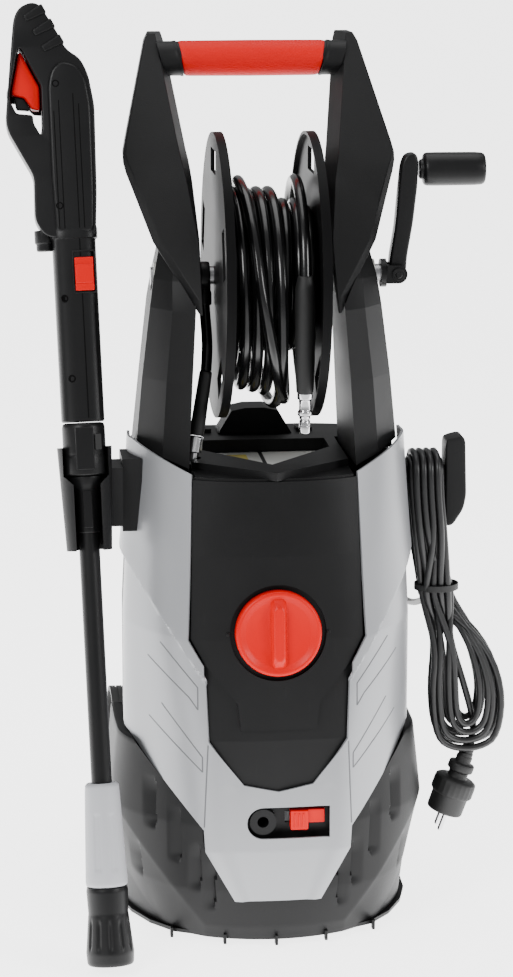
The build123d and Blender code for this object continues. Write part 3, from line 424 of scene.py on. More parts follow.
# %% Places
gun_foot = np.array([-167.1, -112.0, 9.0])
gun_lean = radians(12.0)
gun_side = radians(-1.72)
plug_top = np.array([214.3, 60.0, 165.9])
plug_direction = np.array([-0.34, 0.0, -0.94]) / np.hypot(0.34, 0.94)
knob_place = np.array([0.0, -73.0, 326.0])
knob_tilt = radians(84.0)
reel_y, reel_z = 60.0, 655.0


def stay(points):
    """Points that are already in the machine's own frame."""
    return points


def on_gun(points):
    """Local x across, y towards the back and z along the barrel."""
    lean = np.array([[1, 0, 0], [0, cos(gun_lean), sin(gun_lean)], [0, -sin(gun_lean), cos(gun_lean)]])
    side = np.array([[cos(gun_side), 0, sin(gun_side)], [0, 1, 0], [-sin(gun_side), 0, cos(gun_side)]])
    return points @ (side @ lean).T + gun_foot


def on_plug(points):
    """Local z runs down the plug from where the cord enters it."""
    across = np.array([0.94, 0, -0.34]) / np.hypot(0.34, 0.94)
    basis = np.stack([across, np.cross(plug_direction, across), plug_direction])
    return points @ basis + plug_top


def on_dish(points):
    """Local z comes out of the switch's dish, towards the front."""
    turn = np.array([[1, 0, 0], [0, cos(knob_tilt), -sin(knob_tilt)], [0, sin(knob_tilt), cos(knob_tilt)]])
    return points @ turn.T + knob_place


def along_x(y, z):
    """Carry a turned shape so that its axis lies along X at y, z."""
    return lambda points: np.stack([points[..., 2], points[..., 0] + y, points[..., 1] + z], -1)


def along_y(x, z):
    """Carry a turned shape so that its axis lies along Y at x, z, heights towards the back."""
    return lambda points: np.stack([points[..., 1] + x, points[..., 2], points[..., 0] + z], -1)


def upright(x, y):
    """Carry a turned shape so that its axis stands at x, y."""
    return lambda points: points + np.array([x, y, 0.0])


print("gun axis top", on_gun(np.array([0.0, 0.0, 900.0])).round(1))

# %% [markdown]
# ## Cords
# The cords come before the rest, because they hold the most length. A cord is one smooth spline through a
# few given points; a coil's turns are worked out by a loop.

# %% Cord helpers
def smooth_length(points):
    """Length of the spline: each stretch is a quadratic arc between the runs' middles."""
    middles = (points[1:-2] + points[2:-1]) / 2
    starts = np.concatenate([points[:1], middles])
    ends = np.concatenate([middles, points[-1:]])
    t = np.linspace(0, 1, 17)[:, None, None]
    arcs = (1 - t) ** 2 * starts + 2 * t * (1 - t) * points[1:-1] + t ** 2 * ends
    return float(np.linalg.norm(np.diff(arcs, axis=0), axis=-1).sum())


def cord_curve(name, points, radius):
    """Round cord on a NURBS spline whose control points are these, in millimetres."""
    curve = bpy.data.curves.new(name, "CURVE")
    curve.dimensions = "3D"
    curve.bevel_depth = radius * MM
    curve.bevel_resolution = 4
    curve.resolution_u = 4
    curve.use_fill_caps = True
    spline = curve.splines.new("NURBS")
    spline.points.add(len(points) - 1)
    spline.points.foreach_set("co", np.concatenate([points * MM, np.ones((len(points), 1))], 1).ravel())
    spline.order_u = 3
    spline.use_endpoint_u = True
    piece = bpy.data.objects.new(name, curve)
    bpy.context.collection.objects.link(piece)
    print(name, "length", round(smooth_length(points)), "mm")
    return piece


def closest_pass(points, radius):
    """Smallest distance between stretches of a cord that aren't neighbours along it."""
    middles = (points[1:] + points[:-1]) / 2
    gaps = np.linalg.norm(middles[:, None] - middles[None], axis=-1)
    along = np.abs(np.arange(len(middles))[:, None] - np.arange(len(middles))[None])
    return float(gaps[along > 4].min())


# %% [markdown]
# The high pressure hose fills the drum in even layers. Its last turns are loose: they hang
# below the drum, and the very last one crosses the others before it ends in its nipple.

# %% Hose on the reel
hose_radius = 5.5
points_per_turn = 18


def hose_turns():
    """Turns (x, y, z): y = reel_y - r sin a and z = reel_z + r cos a, with a growing.
    Layers step outwards by one hose; slack is added to r at the foot of the loose turns."""
    keys = np.array([
        # turns, x, r, slack
        (0.00, -39.0, 50.0, 0), (0.25, -39.5, 58.6, 0), (6.75, 39.5, 58.6, 0), (7.25, 39.5, 69.9, 0),
        (13.6, -39.5, 69.9, 0), (14.1, -39.5, 81.2, 4), (15.0, -30.0, 81.2, 22), (16.0, -18.5, 81.5, 34),
        (17.0, -7.0, 81.5, 26), (18.0, 4.5, 81.5, 42), (18.45, 10.0, 84.0, 44), (19.0, -27.0, 92.8, 40),
        (19.25, -14.0, 93.0, 40), (19.5, 22.0, 93.0, 30), (19.75, 35.0, 94.0, 12), (20.0, 31.0, 93.0, 0),
        (20.25, 30.0, 90.0, 0),
    ])
    turns = np.linspace(0, 20.25, int(20.25 * points_per_turn) + 1)
    x, radius, slack = (np.interp(turns, keys[:, 0], keys[:, column]) for column in (1, 2, 3))
    angle = 2 * pi * turns
    radius = radius / cos(pi / points_per_turn) + slack * ((1 - np.cos(angle)) / 2) ** 2
    return np.stack([x, reel_y - radius * np.sin(angle), reel_z + radius * np.cos(angle)], -1)


hose_points = hose_turns()
hose = cord_curve("pressure_hose", hose_points, hose_radius)
dress(hose, "reel", "hose_rubber", replaces=("hose_winding",))
print("closest pass", round(closest_pass(hose_points, hose_radius), 1))

# %% [markdown]
# The free end has a long black bend guard and a stepped plated nipple.

# %% Hose end
sleeve_top, sleeve_bottom = 667.0, 553.0
guard_profile = soften([(0, sleeve_top), (7.2, sleeve_top), (9.6, 655.0), (10.3, 640.0), (9.4, 575.0),
                        (8.4, 556.0), (8.0, sleeve_bottom), (0, sleeve_bottom)], 1.0)
hose_guard = turned("hose_guard", guard_profile, upright(30.0, -30.0), 40)
dress(hose_guard, "reel", "rubber", replaces=("hose_end_sleeve",))
nipple_profile = [(0, 553.0), (7.4, 553.0), (7.4, 547.5), (5.7, 546.5), (5.7, 536.5), (6.9, 535.0),
                  (6.9, 531.5), (5.3, 530.5),
                  (5.3, 528.0), (4.4, 527.6), (4.4, 526.4), (5.3, 526.0), (5.3, 521.5), (5.6, 520.5),
                  (5.6, 514.5), (4.8, 513.0), (3.0, 513.0), (2.6, 518.0), (0, 518.0)]
nipple = turned("hose_nipple_plated", soften(nipple_profile, 0.35), upright(30.0, -30.0), 48)
dress(nipple, "reel", "chrome", replaces=("hose_nipple",))

# %% [markdown]
# A short link hose brings the water from the pump up to the reel's hollow axle.

# %% Link hose
link_points = np.array([(-60.5, 26, 566), (-58.8, 30, 582), (-58.2, 39.5, 598), (-58.8, 51.5, 614),
                        (-59, 60, 629)], float)
link_hose = cord_curve("link_hose_bend", link_points, hose_radius)
dress(link_hose, "machine", "hose_rubber", replaces=("link_hose",))

# %% [markdown]
# The mains cord leaves the back through a ribbed relief, runs forward along the side and
# hangs over the hook in a hank. Nine turns pass the tie side by side, fan out below it,
# and the end drops to the plug.

# %% Mains cord
cord_radius = 3.5
lead_points = [(80, 220, 300), (80, 266, 297), (122, 290, 288), (164, 266, 280), (168, 218, 278),
               (172, 170, 286), (175, 120, 304), (176, 84, 318)]
tie_middle = np.array([176.5, 60.0])
hank_turns = 9


def tie_slot(number, side):
    """Place of a strand in the tie: rows of four and five, a cord's width apart."""
    outer = number % 9 >= 5
    across = (number % 9 - 5 - 1.5) if outer else (number % 9 - 2)
    return np.array([across * 7.3, side * (10.9 if outer else 3.65)])


def hank_points():
    """One turn: up through the tie, over the hook, down through the tie, round the foot.
    The foot loops nest in two planes, and their widths and depths differ a little."""
    out = []
    for number in range(hank_turns):
        layer = number % 2
        top_x = 147.5 + 7.2 * (number // 2) + 3.6 * layer
        half, crown = (18.5, 465.5) if layer == 0 else (25.5, 473.0)
        rise = tie_slot(number, 1)
        fall = tie_slot(number, -1)
        for share in (0.0, 0.5):
            out.append((*(tie_middle + rise + np.array([-3.0 * share, 3 * share])), 322 + 34 * share))
        out.append((top_x + 5, 60 + half * 0.95, 390))
        out.append((top_x, 60 + half, 438))
        out.append((top_x, 60 + half * 0.93, crown))
        out.append((top_x, 60 - half * 0.93, crown))
        out.append((top_x, 60 - half, 438))
        out.append((top_x + 5, 60 - half * 0.95, 390))
        for share in (0.5, 0.0):
            out.append((*(tie_middle + fall + np.array([-3.0 * share, -3 * share])), 322 + 34 * share))
        if number == hank_turns - 1:
            break
        nest = number // 2
        plane = 60 + (-10.5 if layer == 0 else 10.5)
        middle = 209 + 1.5 * sin(2.1 * number)
        width = 37.0 - 7.9 * nest
        foot = 163.5 + 8.6 * nest + 1.5 * layer
        out.append((middle - 0.72 * width - 6, 60 + 1.1 * (plane - 60), 270))
        out.append((middle - width, plane, 225 + 2 * nest))
        out.append((middle - 0.86 * width, plane, foot + 12))
        out.append((middle - 0.35 * width, plane, foot))
        out.append((middle + 0.35 * width, plane, foot))
        out.append((middle + 0.88 * width, plane, foot + 12))
        out.append((middle + width, plane, 228 + 2 * nest))
        out.append((middle + 0.6 * width - 8, 60 + 0.9 * (plane - 60) + 3, 280))
    return out


tail_points = [(190, 58, 280), (205, 60, 235), (216.5, 60, 195), (217.5, 60, 181), (216.2, 60, 174),
               (214.3, 60, 165.9)]
cord_points = np.array(lead_points + hank_points() + tail_points, float)
mains_cord = cord_curve("mains_cord", cord_points, cord_radius)
dress(mains_cord, "machine", "cord_rubber", replaces=("cord_lead", "cord_hank", "cord_tail"))
print("closest pass", round(closest_pass(cord_points, cord_radius), 1))

# %% [markdown]
# The plug is a rubber moulding: a tapered relief with rings, a collar, a round shield and
# the grip body, with two solid pins.

# %% Plug and tie
plug_profile = [(0, -1.5), (4.6, -1.5), (5.2, 2), (6.4, 3), (6.0, 6), (7.0, 7), (6.6, 10), (7.7, 11),
                (7.3, 14), (8.4, 15), (8.2, 20),
                (9.2, 22), (13.2, 22.6), (13.5, 25), (13.5, 30), (12.2, 31), (10.2, 32), (10.2, 38.5),
                (18.0, 39), (21.4, 41), (22.0, 45),
                (22.0, 55), (20.6, 57), (18.9, 58), (18.7, 75), (17.6, 77), (11, 77.2), (0, 77.2)]
plug = turned("plug_rubber", soften(plug_profile, 0.5), on_plug, 72,
              lambda angle, height: -0.5 * (np.cos(angle * 24) > 0.55) * ((height > 41) & (height < 56)))
dress(plug, "machine", "rubber", replaces=("plug_body",), sharp=50)
pin_profile = [(0, 70), (2.4, 70), (2.4, 93.5), (1.9, 95.4), (0.9, 96), (0, 96)]
for number, side in enumerate((-9.5, 9.5)):
    pin = turned(f"plug_pin_{number + 1}", pin_profile, lambda p, s=side: on_plug(p + np.array([0, s, 0])),
                 24)
    dress(pin, "machine", "chrome", replaces=("plug_pins",))
angle = np.linspace(0, 2 * pi, 64, endpoint=False)
strap_section = np.array([(0.0, 0.0), (1.1, 0.0), (1.1, 6.5), (0.0, 6.5)])
strap_rings = np.stack([np.stack([176.5 + (21.5 + w) * np.cos(angle), 60 + (17.6 + w) * np.sin(angle),
                                  331 + h + 0 * angle], -1)
                        for w, h in strap_section])
tie_band = outward(mesh_piece("cord_tie_band", strap_rings * MM, np.concatenate(
    [grid_faces(4, 64), np.stack([3 * 64 + np.arange(64), 3 * 64 + (np.arange(64) + 1) % 64,
                                  (np.arange(64) + 1) % 64, np.arange(64)], -1)])))
dress(tie_band, "machine", "rubber", replaces=("cord_tie",), bevel=0.3)
print("mains cord metres", round(smooth_length(cord_points) * MM, 2))

# %% [markdown]
# ## Covers
# The housing is one smooth egg-like envelope. Its outline at any height is a smooth curve
# through a few points, and the silver cover is a sheet on that envelope. Because the sheet
# is worked out point by point, its ridge can be raised where the diagonal line runs.

# %% Envelope of the housing
cover_rear = 62.0
housing_rows = np.array([
    # height, front, corner x, corner y, side x, side y
    (50.0, -79.5, 44.0, -76.0, 139.0, 22.0), (107.0, -83.0, 71.0, -77.5, 140.0, 22.0),
    (219.0, -82.0, 71.0, -75.5, 141.0, 20.0), (319.0, -74.5, 84.0, -62.0, 141.0, 18.0),
    (400.0, -66.0, 82.0, -51.5, 137.0, 22.0), (500.0, -52.0, 81.0, -34.0, 131.0, 28.0),
])


def smooth_through(points, t):
    """Smooth curve through points (k, 2, ...): Catmull-Rom cubic at parameters t in 0..k-1."""
    points = np.concatenate([2 * points[:1] - points[1:2], points, 2 * points[-1:] - points[-2:-1]])
    part = np.clip(np.floor(t).astype(int), 0, len(points) - 4)
    u = (t - part).reshape(-1, *[1] * (points.ndim - 1))
    a, b, c, d = (points[part + k] for k in range(4))
    return 0.5 * (2 * b + (c - a) * u + (2 * a - 5 * b + 4 * c - d) * u ** 2 + (3 * b - a - 3 * c + d)
                  * u ** 3)


def housing_half(z):
    """Right half of the outline: front middle, corner, side and rear seam. z is one height or many."""
    front, corner_x, corner_y, side_x, side_y = (np.interp(z, housing_rows[:, 0],
                                                           housing_rows[:, k]) for k in range(1, 6))
    middle = ((corner_x + side_x) / 2 + 7, (corner_y + side_y) / 2 - 7)
    shoulder_y = front + 0.25 * (corner_y - front)
    knots = ((-0.55 * corner_x, shoulder_y), (0, front), (0.55 * corner_x, shoulder_y),
             (corner_x, corner_y),
             middle, (side_x, side_y), (side_x + 1, cover_rear), (side_x - 2, 120))
    return smooth_through(np.array([[x + 0 * z, y + 0 * z] for x, y in knots]), np.linspace(1, 6, 201))


def housing_front(x, z):
    """y of the envelope's front at arrays x and z: linear between the outline's two nearest points."""
    half = housing_half(z)
    high = np.maximum((half[:, 0] < np.abs(x)).sum(axis=0), 1)
    each = np.arange(len(high))
    low_x, low_y = half[high - 1, :, each].T
    high_x, high_y = half[high, :, each].T
    return low_y + (high_y - low_y) * (np.abs(x) - low_x) / (high_x - low_x)


# %% [markdown]
# The silver cover reaches from the opening's edge round to the side seam. It is an open sheet
# at first, and gets its wall and its slot afterwards, because a sheet is easier to shape.

# %% Silver cover
opening_edge = np.array([(168.0, 0.0), (175.0, 34.0), (219.0, 68.5), (295.0, 71.0), (319.0, 84.4),
                         (477.0, 80.0)])
lower_edge = np.array([(55.0, 42.7), (107.0, 71.6), (129.0, 73.0), (204.0, 138.5)])
cover_rows, cover_columns = 200, 64


def ridge_height(x, z):
    """Raised above the diagonal that runs from the side down to the panel, fading upwards."""
    above = (z - 300 - (x - 84.4) * 84 / 55.1) * 0.55
    rise = np.clip((above + 1.6) / 3.2, 0, 1)
    return 6.5 * rise ** 2 * (3 - 2 * rise) * np.exp(-np.maximum(above, 0) / 70)


def cover_half():
    """Grid from the opening's edge to the seam: height rows, curve parameter columns."""
    rows = []
    for z in beads([55, 107, 129, 168, 175, 204, 212, 219, 295, 319, 477], 422 / cover_rows):
        half = housing_half(z)
        t = np.linspace(0, 1, len(half))
        inner = 0.0 if z < 168 else np.interp(np.interp(z, *opening_edge.T), half[:, 0], t)
        outer = 1.0 if z >= 212 else np.interp(np.interp(z, *lower_edge.T), half[:, 0], t)
        outer = outer + (1 - outer) * np.clip((z - 204) / 8, 0, 1)
        across = inner + (outer - inner) * np.linspace(0, 1, cover_columns)
        x, y = np.interp(across, t, half[:, 0]), np.interp(across, t, half[:, 1])
        way = np.stack([np.gradient(y), -np.gradient(x)], -1)
        way = way / np.linalg.norm(way, axis=1, keepdims=True)
        raised = ridge_height(x, z)
        shear = np.clip((z - 400) / 77, 0, 1) * np.clip((x - 80) * 0.47, 0, 24)
        rows.append(np.stack([x + way[:, 0] * raised, y + way[:, 1] * raised, z + shear], -1))
    return np.array(rows)


def cut_away(piece, cutter):
    """Take the cutter's shape out of the piece and remove the cutter."""
    cut = piece.modifiers.new("cut", "BOOLEAN")
    cut.operation = "DIFFERENCE"
    cut.solver = "EXACT"
    cut.object = cutter
    bpy.context.view_layer.update()
    mesh = bpy.data.meshes.new_from_object(piece.evaluated_get(bpy.context.evaluated_depsgraph_get()))
    piece.modifiers.clear()
    piece.data = mesh
    bpy.data.objects.remove(cutter)


def thicken(piece, wall):
    """Give an open sheet its wall, inwards from the faces' outer side."""
    shell = piece.modifiers.new("wall", "SOLIDIFY")
    shell.thickness = wall * MM
    shell.offset = -1


def make_cover():
    """Both halves of the sheet, joined along the middle, with its wall and the slot."""
    right = cover_half()
    left = right * np.array([-1, 1, 1])
    faces = grid_faces(*right.shape[:2], closed=False)
    count = right.shape[0] * right.shape[1]
    piece = mesh_piece("silver_cover", np.concatenate([right.reshape(-1, 3), left.reshape(-1, 3)]) * MM,
                       np.concatenate([faces, faces[:, ::-1] + count]))
    work = bmesh.new()
    work.from_mesh(piece.data)
    bmesh.ops.remove_doubles(work, verts=work.verts, dist=2e-5)
    work.to_mesh(piece.data)
    work.free()
    thicken(piece, 2.6)
    slot = [(50.4, 120.0), (50.4, 152.0), (-15.0, 152.0)]
    round_end = [(-15 - 16 * sin(a), 136 + 16 * cos(a)) for a in np.linspace(0, pi, 17)[1:-1]]
    cutter = plate("slot_cutter", [np.array(slot + round_end + [(-15.0, 120.0)])], -120, -60, 0.01, stay, 0)
    cut_away(piece, cutter)
    return dress(piece, "machine", "silver_shell", replaces=("front_cover",), bevel=0.9, sharp=30)


cover = make_cover()
print("cover", len(cover.data.polygons), "faces")

# %% [markdown]
# Shallow moulded lines decorate the wings. Each is a narrow strip laid just on the sheet,
# dark as the shadow that such a groove holds.

# %% Moulded lines
def surface_line(name, points, width, body="machine", material="shadow_line"):
    """Strip of a width along points (x, z) on the envelope's front, a hair proud of it."""
    points = np.asarray(points, float)
    run = np.concatenate([[0], np.cumsum(np.hypot(*np.diff(points, axis=0).T))])
    at = beads(run, 3.0)
    x, z = np.interp(at, run, points[:, 0]), np.interp(at, run, points[:, 1])
    side = np.stack([-np.gradient(z), np.gradient(x)], -1)
    side = side / np.linalg.norm(side, axis=1, keepdims=True) * width / 2
    rings = []
    for u, d in ((-1, 0.5), (-0.6, -0.25), (0.6, -0.25), (1, 0.5)):
        px, pz = x + side[:, 0] * u, z + side[:, 1] * u
        lift = ridge_height(np.abs(px), pz)
        y = housing_front(px, pz)
        rings.append(np.stack([px + np.sign(px) * lift * 0.55, y - lift * 0.8 + d, pz], -1))
    piece = skin(name, np.stack(rings, 1))
    return dress(piece, body, "silver_shell", material)


wing_lines = (
    [(112, 311), (78, 272), (78, 250)], [(123, 294), (86, 261), (78, 250)],
    [(111, 249), (74, 203), (74, 188)], [(122, 232), (86, 199), (74, 188)],
    [(68.8, 216), (72.6, 132)],
)
for number, line in enumerate(wing_lines):
    for side, label in ((1, "right"), (-1, "left")):
        surface_line(f"wing_line_{label}_{number + 1}", [(side * x, z) for x, z in line], 1.7)
print("wing lines", 2 * len(wing_lines))

# %% [markdown]
# The base is a skirt that bulges forward, with a crease below which it tucks in, upright
# scoops on its flanks, and a notch where the silver cover comes down over it.

# %% Base skirt
base_heights = np.array([8.0, 62.0, 130.0, 203.0])
base_halves = np.array([
    [(0, -65), (52, -57), (102, -33), (124, -7), (141, 27), (150, 62), (152, 124)],
    [(0, -71), (58, -66), (104, -44), (134, -12), (149, 24), (155, 62), (155, 124)],
    [(0, -75), (62, -70), (106, -47), (140, -12), (156, 22), (158, 60), (157, 124)],
    [(0, -72), (62, -66), (104, -40), (134, -8), (148, 24), (151, 60), (151, 124)],
], float)
scoops = ((62, 40, 92), (76, 60, 112), (95, 88, 146), (118, 118, 172), (134, 60, 100))


def base_ring(z, inset):
    """Closed outline at height z: smooth front, straight flank ends and rear box."""
    half = np.stack([np.interp(z, base_heights, base_halves[:, k, c]) for k in range(7) for c in (0,
        1)]).reshape(7, 2)
    knots = np.concatenate([half[1:2] * np.array([-1, 1]), half])
    right = smooth_through(knots, np.linspace(1, 7, 150))
    tuck = 9.0 * np.clip((np.interp(right[:, 0], [70, 158], [22, 132]) - z) / 70, 0, 1) ** 0.8
    scoop = sum(4.5 * np.clip(1 - (right[:, 0] - x) / 11, 0, 1) * (right[:, 0] >= x - 0.8)
                * np.clip((z - z0) / 8, 0, 1) * np.clip((z1 - z) / 16, 0, 1) for x, z0, z1 in scoops)
    way = np.stack([-right[:, 0] / 158, -(right[:, 1] - 60) / 135], -1)
    way = way / np.linalg.norm(way, axis=1, keepdims=True)
    right = right + way * (inset + tuck + scoop * (right[:, 1] < 60))[:, None]
    box_half = 110.0 - inset
    ends = np.array([(right[-1, 0], 124 - inset), (box_half + 4, 124 - inset), (box_half, 128 - inset),
                     (box_half, 210 - inset),
                     (box_half - 4, 214 - inset)])
    right = np.concatenate([right[:-1], ends])
    return np.concatenate([right, right[:0:-1] * np.array([-1, 1])])


def make_base():
    """Rings up the skirt, over its rounded shoulder and in along its lip; then the cuts."""
    steps = [(z, 0.0) for z in beads([8, 130, 199], 2.4)] + [(201.2, 0.7), (202.5, 2.2), (203.0, 4.5),
        (203.0, 17.0)]
    rings = np.array([np.concatenate([base_ring(z, inset), np.full((len(base_ring(z, inset)), 1), z)],
                                     1) for z, inset in steps])
    piece = mesh_piece("base_skirt", rings * MM, grid_faces(*rings.shape[:2]))
    thicken(piece, 3.0)
    notch = [(150.0, 260.0), (150.0, 212.5), (139.0, 204.5), (73.5, 129.5), (72.0, 107.0), (43.0, 54.6)]
    notch = np.array(notch + [(-x, z) for x, z in reversed(notch)])
    cut_away(piece, plate("notch_cutter", [notch], -130, 21, 0.01, stay, 0))
    return dress(piece, "machine", "black_shell", replaces=("base_shell",), bevel=0.8, sharp=40)


base = make_base()
print("base", len(base.data.polygons), "faces")


def block(name, low, high, body, slot, bevel=1.5, draft=0.0, material=None, replaces=(), place=stay):
    """Moulded block between two corners, tapered by its draft and with soft edges."""
    rings = []
    for z, d in ((low[2], 0.0), (high[2], draft)):
        x0, x1, y0, y1 = low[0] + d, high[0] - d, low[1] + d, high[1] - d
        rings.append([(x0, y0, z), (x1, y0, z), (x1, y1, z), (x0, y1, z)])
    piece = skin(name, place(np.array(rings, float)))
    return dress(piece, body, slot, material, replaces=replaces, bevel=bevel)


for side, label in ((1, "right"), (-1, "left")):
    x0, x1 = sorted((side * 88.0, side * 110.0))
    block(f"axle_block_{label}", (x0, 205, 82), (x1, 231, 104), "machine", "black_shell")
for number, (x, y) in enumerate(((-101.6, -30), (-50.6, -54), (0, -62), (50.6, -54), (101.6, -30))):
    block(f"rim_nub_{number + 1}", (x - 1.5, y - 6, 3.5), (x + 1.5, y + 2, 14), "machine", "black_shell",
          bevel=0.6)
print("axle blocks and nubs")

# %% [markdown]
# ## Arms and handle
# Each arm is a long diamond plate that leans back as it rises, with a deep inner edge. It is
# a skin through a few level sections, and a bevel softens the edges that catch the light.

# %% Arms
def arm_front(z):
    """Front face of an arm at a height."""
    return -6.0 + (z - 628.0) * 0.745


arm_levels = np.array([
    # height, inner edge, outer edge, depth, how far the back is further in
    (626, 66.0, 69.0, 9, 0), (640, 65.8, 78.5, 10.5, 0.5), (690, 65.5, 110, 16, 2), (742, 73, 129, 29, 7),
    (752, 75, 132.8, 31, 8),
    (762, 77.3, 135.2, 33, 9), (770, 79, 135.3, 34, 9), (780, 80.6, 133.0, 34, 9),
    (874, 95.4, 108.3, 34, 9), (882, 97, 104, 33, 8)])


def make_arm(side, label):
    """Arm on one side: four-cornered sections, their order turned with the side."""
    rings = []
    for z, inner, outer, depth, inward in arm_levels:
        y = arm_front(z)
        cut = float(np.interp(z, (626, 640, 752, 775, 882), (1.0, 9.0, 7.0, 2.0, 1.5)))
        section = [(side * inner, y), (side * (outer - cut), y + 1.5), (side * outer, y + 1.5 + 1.1 * cut),
                   (side * (outer - 1.5), y + max(depth, 3 + 1.1 * cut)),
                   (side * (inner - inward), y + depth)]
        rings.append([(x, yy, z) for x, yy in section])
    piece = skin(f"arm_plate_{label}", np.array(rings))
    return dress(piece, "machine", "black_shell", replaces=(f"{label}_arm",), bevel=2.6, segments=4,
                 sharp=40)


make_arm(1, "right")
make_arm(-1, "left")
bar_y, bar_z = 181.0, 857.0


def on_bar(points):
    """Carry a turned shape onto the bar, with its seams leaning outwards at the top."""
    placed = along_x(bar_y, bar_z)(points)
    placed[..., 0] = placed[..., 0] * (1 + 0.22 * (placed[..., 2] - bar_z) / 71.5)
    return placed


grip_profile = soften([(0, -71.5), (15.5, -71.5), (17.2, -70.5), (17.7, -66), (18.0, 0), (17.7, 66),
                       (17.2, 70.5), (15.5, 71.5), (0, 71.5)], 0.8)
dress(turned("red_grip_sleeve", grip_profile, on_bar, 72), "machine", "red_grip", replaces=("handle_grip",))
for side, label in ((1, "right"), (-1, "left")):
    collar = soften([(0, side * 72.2), (17.9, side * 72.2), (17.9, side * 74.5), (17.4, side * 76),
                     (17.4, side * 92), (0, side * 92)], 0.5)
    dress(turned(f"bar_collar_{label}", collar, on_bar, 56), "machine", "black_shell")
print("arms and grip")

# %% [markdown]
# ## Switch and outlet
# The switch is a round dished knob with a bar across it to turn by.

# %% Switch knob
knob_profile = [(0, -6.6), (40.4, -6.6), (42, -4.5), (42, 4.5), (41.0, 7.0), (38.6, 8.2), (36.6, 7.4),
                (32.0, 5.0), (22.0, 3.6), (0, 3.2)]
knob = turned("switch_dial", soften(knob_profile, 0.7), on_dish, 96)
dress(knob, "switch", "red_plastic", replaces=("switch_knob",), sharp=55)
bar_rings = []
for height, half_width, half_length in ((1.5, 8.2, 35.5), (6.0, 7.4, 34.0), (10.5, 6.0, 29.0),
                                        (12.6, 4.8, 26.0)):
    corner = np.array([(half_width, -half_length + 4), (half_width - 3, -half_length),
                       (-half_width + 3, -half_length), (-half_width, -half_length + 4),
                       (-half_width, half_length - 4), (-half_width + 3, half_length),
                       (half_width - 3, half_length), (half_width, half_length - 4)])
    bar_rings.append(np.concatenate([corner, np.full((8, 1), height)], 1))
dress(skin("switch_bar", on_dish(np.array(bar_rings))), "switch", "red_plastic", bevel=1.2)
for number, turn in enumerate((0.0, 90.0, 180.0)):
    a = radians(turn)
    middle = np.array([48.8 * cos(a), 48.8 * sin(a)])
    block(f"dial_tick_{number + 1}", (middle[0] - 1.6, middle[1] - 1.6, 0.2),
          (middle[0] + 1.6, middle[1] + 1.6, 1.4), "machine",
                 "satin_black", bevel=0.4, draft=0.3, place=on_dish)
print("switch")

# %% [markdown]
# A red slide in the slot locks the hose's nipple in the outlet. Two tapered blocks make it,
# A red slide in the slot locks the hose's nipple in the outlet. Two blocks with soft edges make it, with
# three fine ribs for the thumb.

# %% Outlet slide
block("plug_lock_grip", (12, -79, 127), (29.6, -67.5, 147), "plug_lock", "red_plastic", bevel=1.3,
      replaces=("outlet_lock",))
block("plug_lock_tongue", (28, -75, 133), (46, -67.5, 147), "plug_lock", "red_plastic", bevel=0.9)
for number in range(3):
    x = 15.5 + 4.2 * number
    block(f"plug_lock_rib_{number + 1}", (x, -80, 130), (x + 1.6, -78.5, 144), "plug_lock", "red_plastic",
          bevel=0.3)
print("outlet slide")

# %% [markdown]
# ## Tray labels
# Blank stickers lie in the tray.

# %% Tray labels
tray_floor = 468.0


def sticker(name, outline, material, lift):
    """Thin sticker on the tray's floor; the outline is x and y."""
    flat = lambda points: np.stack([points[..., 0], points[..., 2], points[..., 1]], -1)
    piece = plate(name, [rounded(outline, 2.0)], tray_floor + lift, tray_floor + lift + 0.4, 0.1, flat, 1)
    return dress(piece, "machine", "black_shell", material)


sticker("label_left", [(-62, 97), (-2, 97), (-2, -10), (-62, 60)], "label", 0.05)
sticker("label_right", [(62, 97), (2, 97), (2, -10), (62, 60)], "label", 0.05)
sticker("label_patch", [(-42, 84), (-15, 84), (-15, 50), (-42, 50)], "label_yellow", 0.5)
print("labels")

# %% [markdown]
# ## Crank
# The crank folds on a pivot in its hub. Its arm bows outwards to the turning knob.

# %% Crank
crank_z = 757.0
crank_outline = [(123.5, 655), (124.5, 672), (129, 700), (132, 735), (134.5, 762), (138.5, 772),
                 (148, 774), (151.5, 768), (151, 742), (147, 705), (141.5, 672), (140.5, 655),
                 (136, 646.5), (128, 646.5)]
crank = plate("crank_bow", [rounded(crank_outline, 6)], 51.5, 68.5, 3.0, stay, 4)
dress(crank, "crank", "satin_black", replaces=("crank_arm",))
knob_end = soften([(0, 153), (9, 153), (10, 155), (10, 157), (15, 157.5), (16.3, 160), (16.5, 170),
                   (16.3, 208), (15.8, 215), (14.4, 217.8), (13.0, 217.8), (12.4, 214), (0, 213.5)], 0.8)
dress(turned("crank_grip_knob", knob_end, along_x(reel_y, crank_z), 64), "crank_grip", "satin_black",
      replaces=("crank_knob",), sharp=50)
pivot = soften([(0, 42.5), (3.0, 42.5), (3.2, 43.5), (5.8, 43.3), (6.2, 44.5), (6.2, 52), (0, 52)], 0.4)
dress(turned("crank_pivot_head", pivot, along_y(132.0, reel_z), 40), "reel", "steel", "satin_black")
print("crank")

# %% [markdown]
# ## Link hose fittings
# A swivel joins the link hose to the reel's hollow axle, and a nut and a bend guard hold its
# lower end. All of them are turned shapes, each along its own axis.

# %% Link fittings
def along(origin, direction):
    """Carry a turned shape so that its axis runs from origin along direction."""
    way = np.asarray(direction, float)
    way = way / np.linalg.norm(way)
    across = np.cross(way, [0, 1, 0])
    across = across / np.linalg.norm(across)
    basis = np.stack([across, np.cross(way, across), way])
    return lambda points: points @ basis + np.asarray(origin, float)


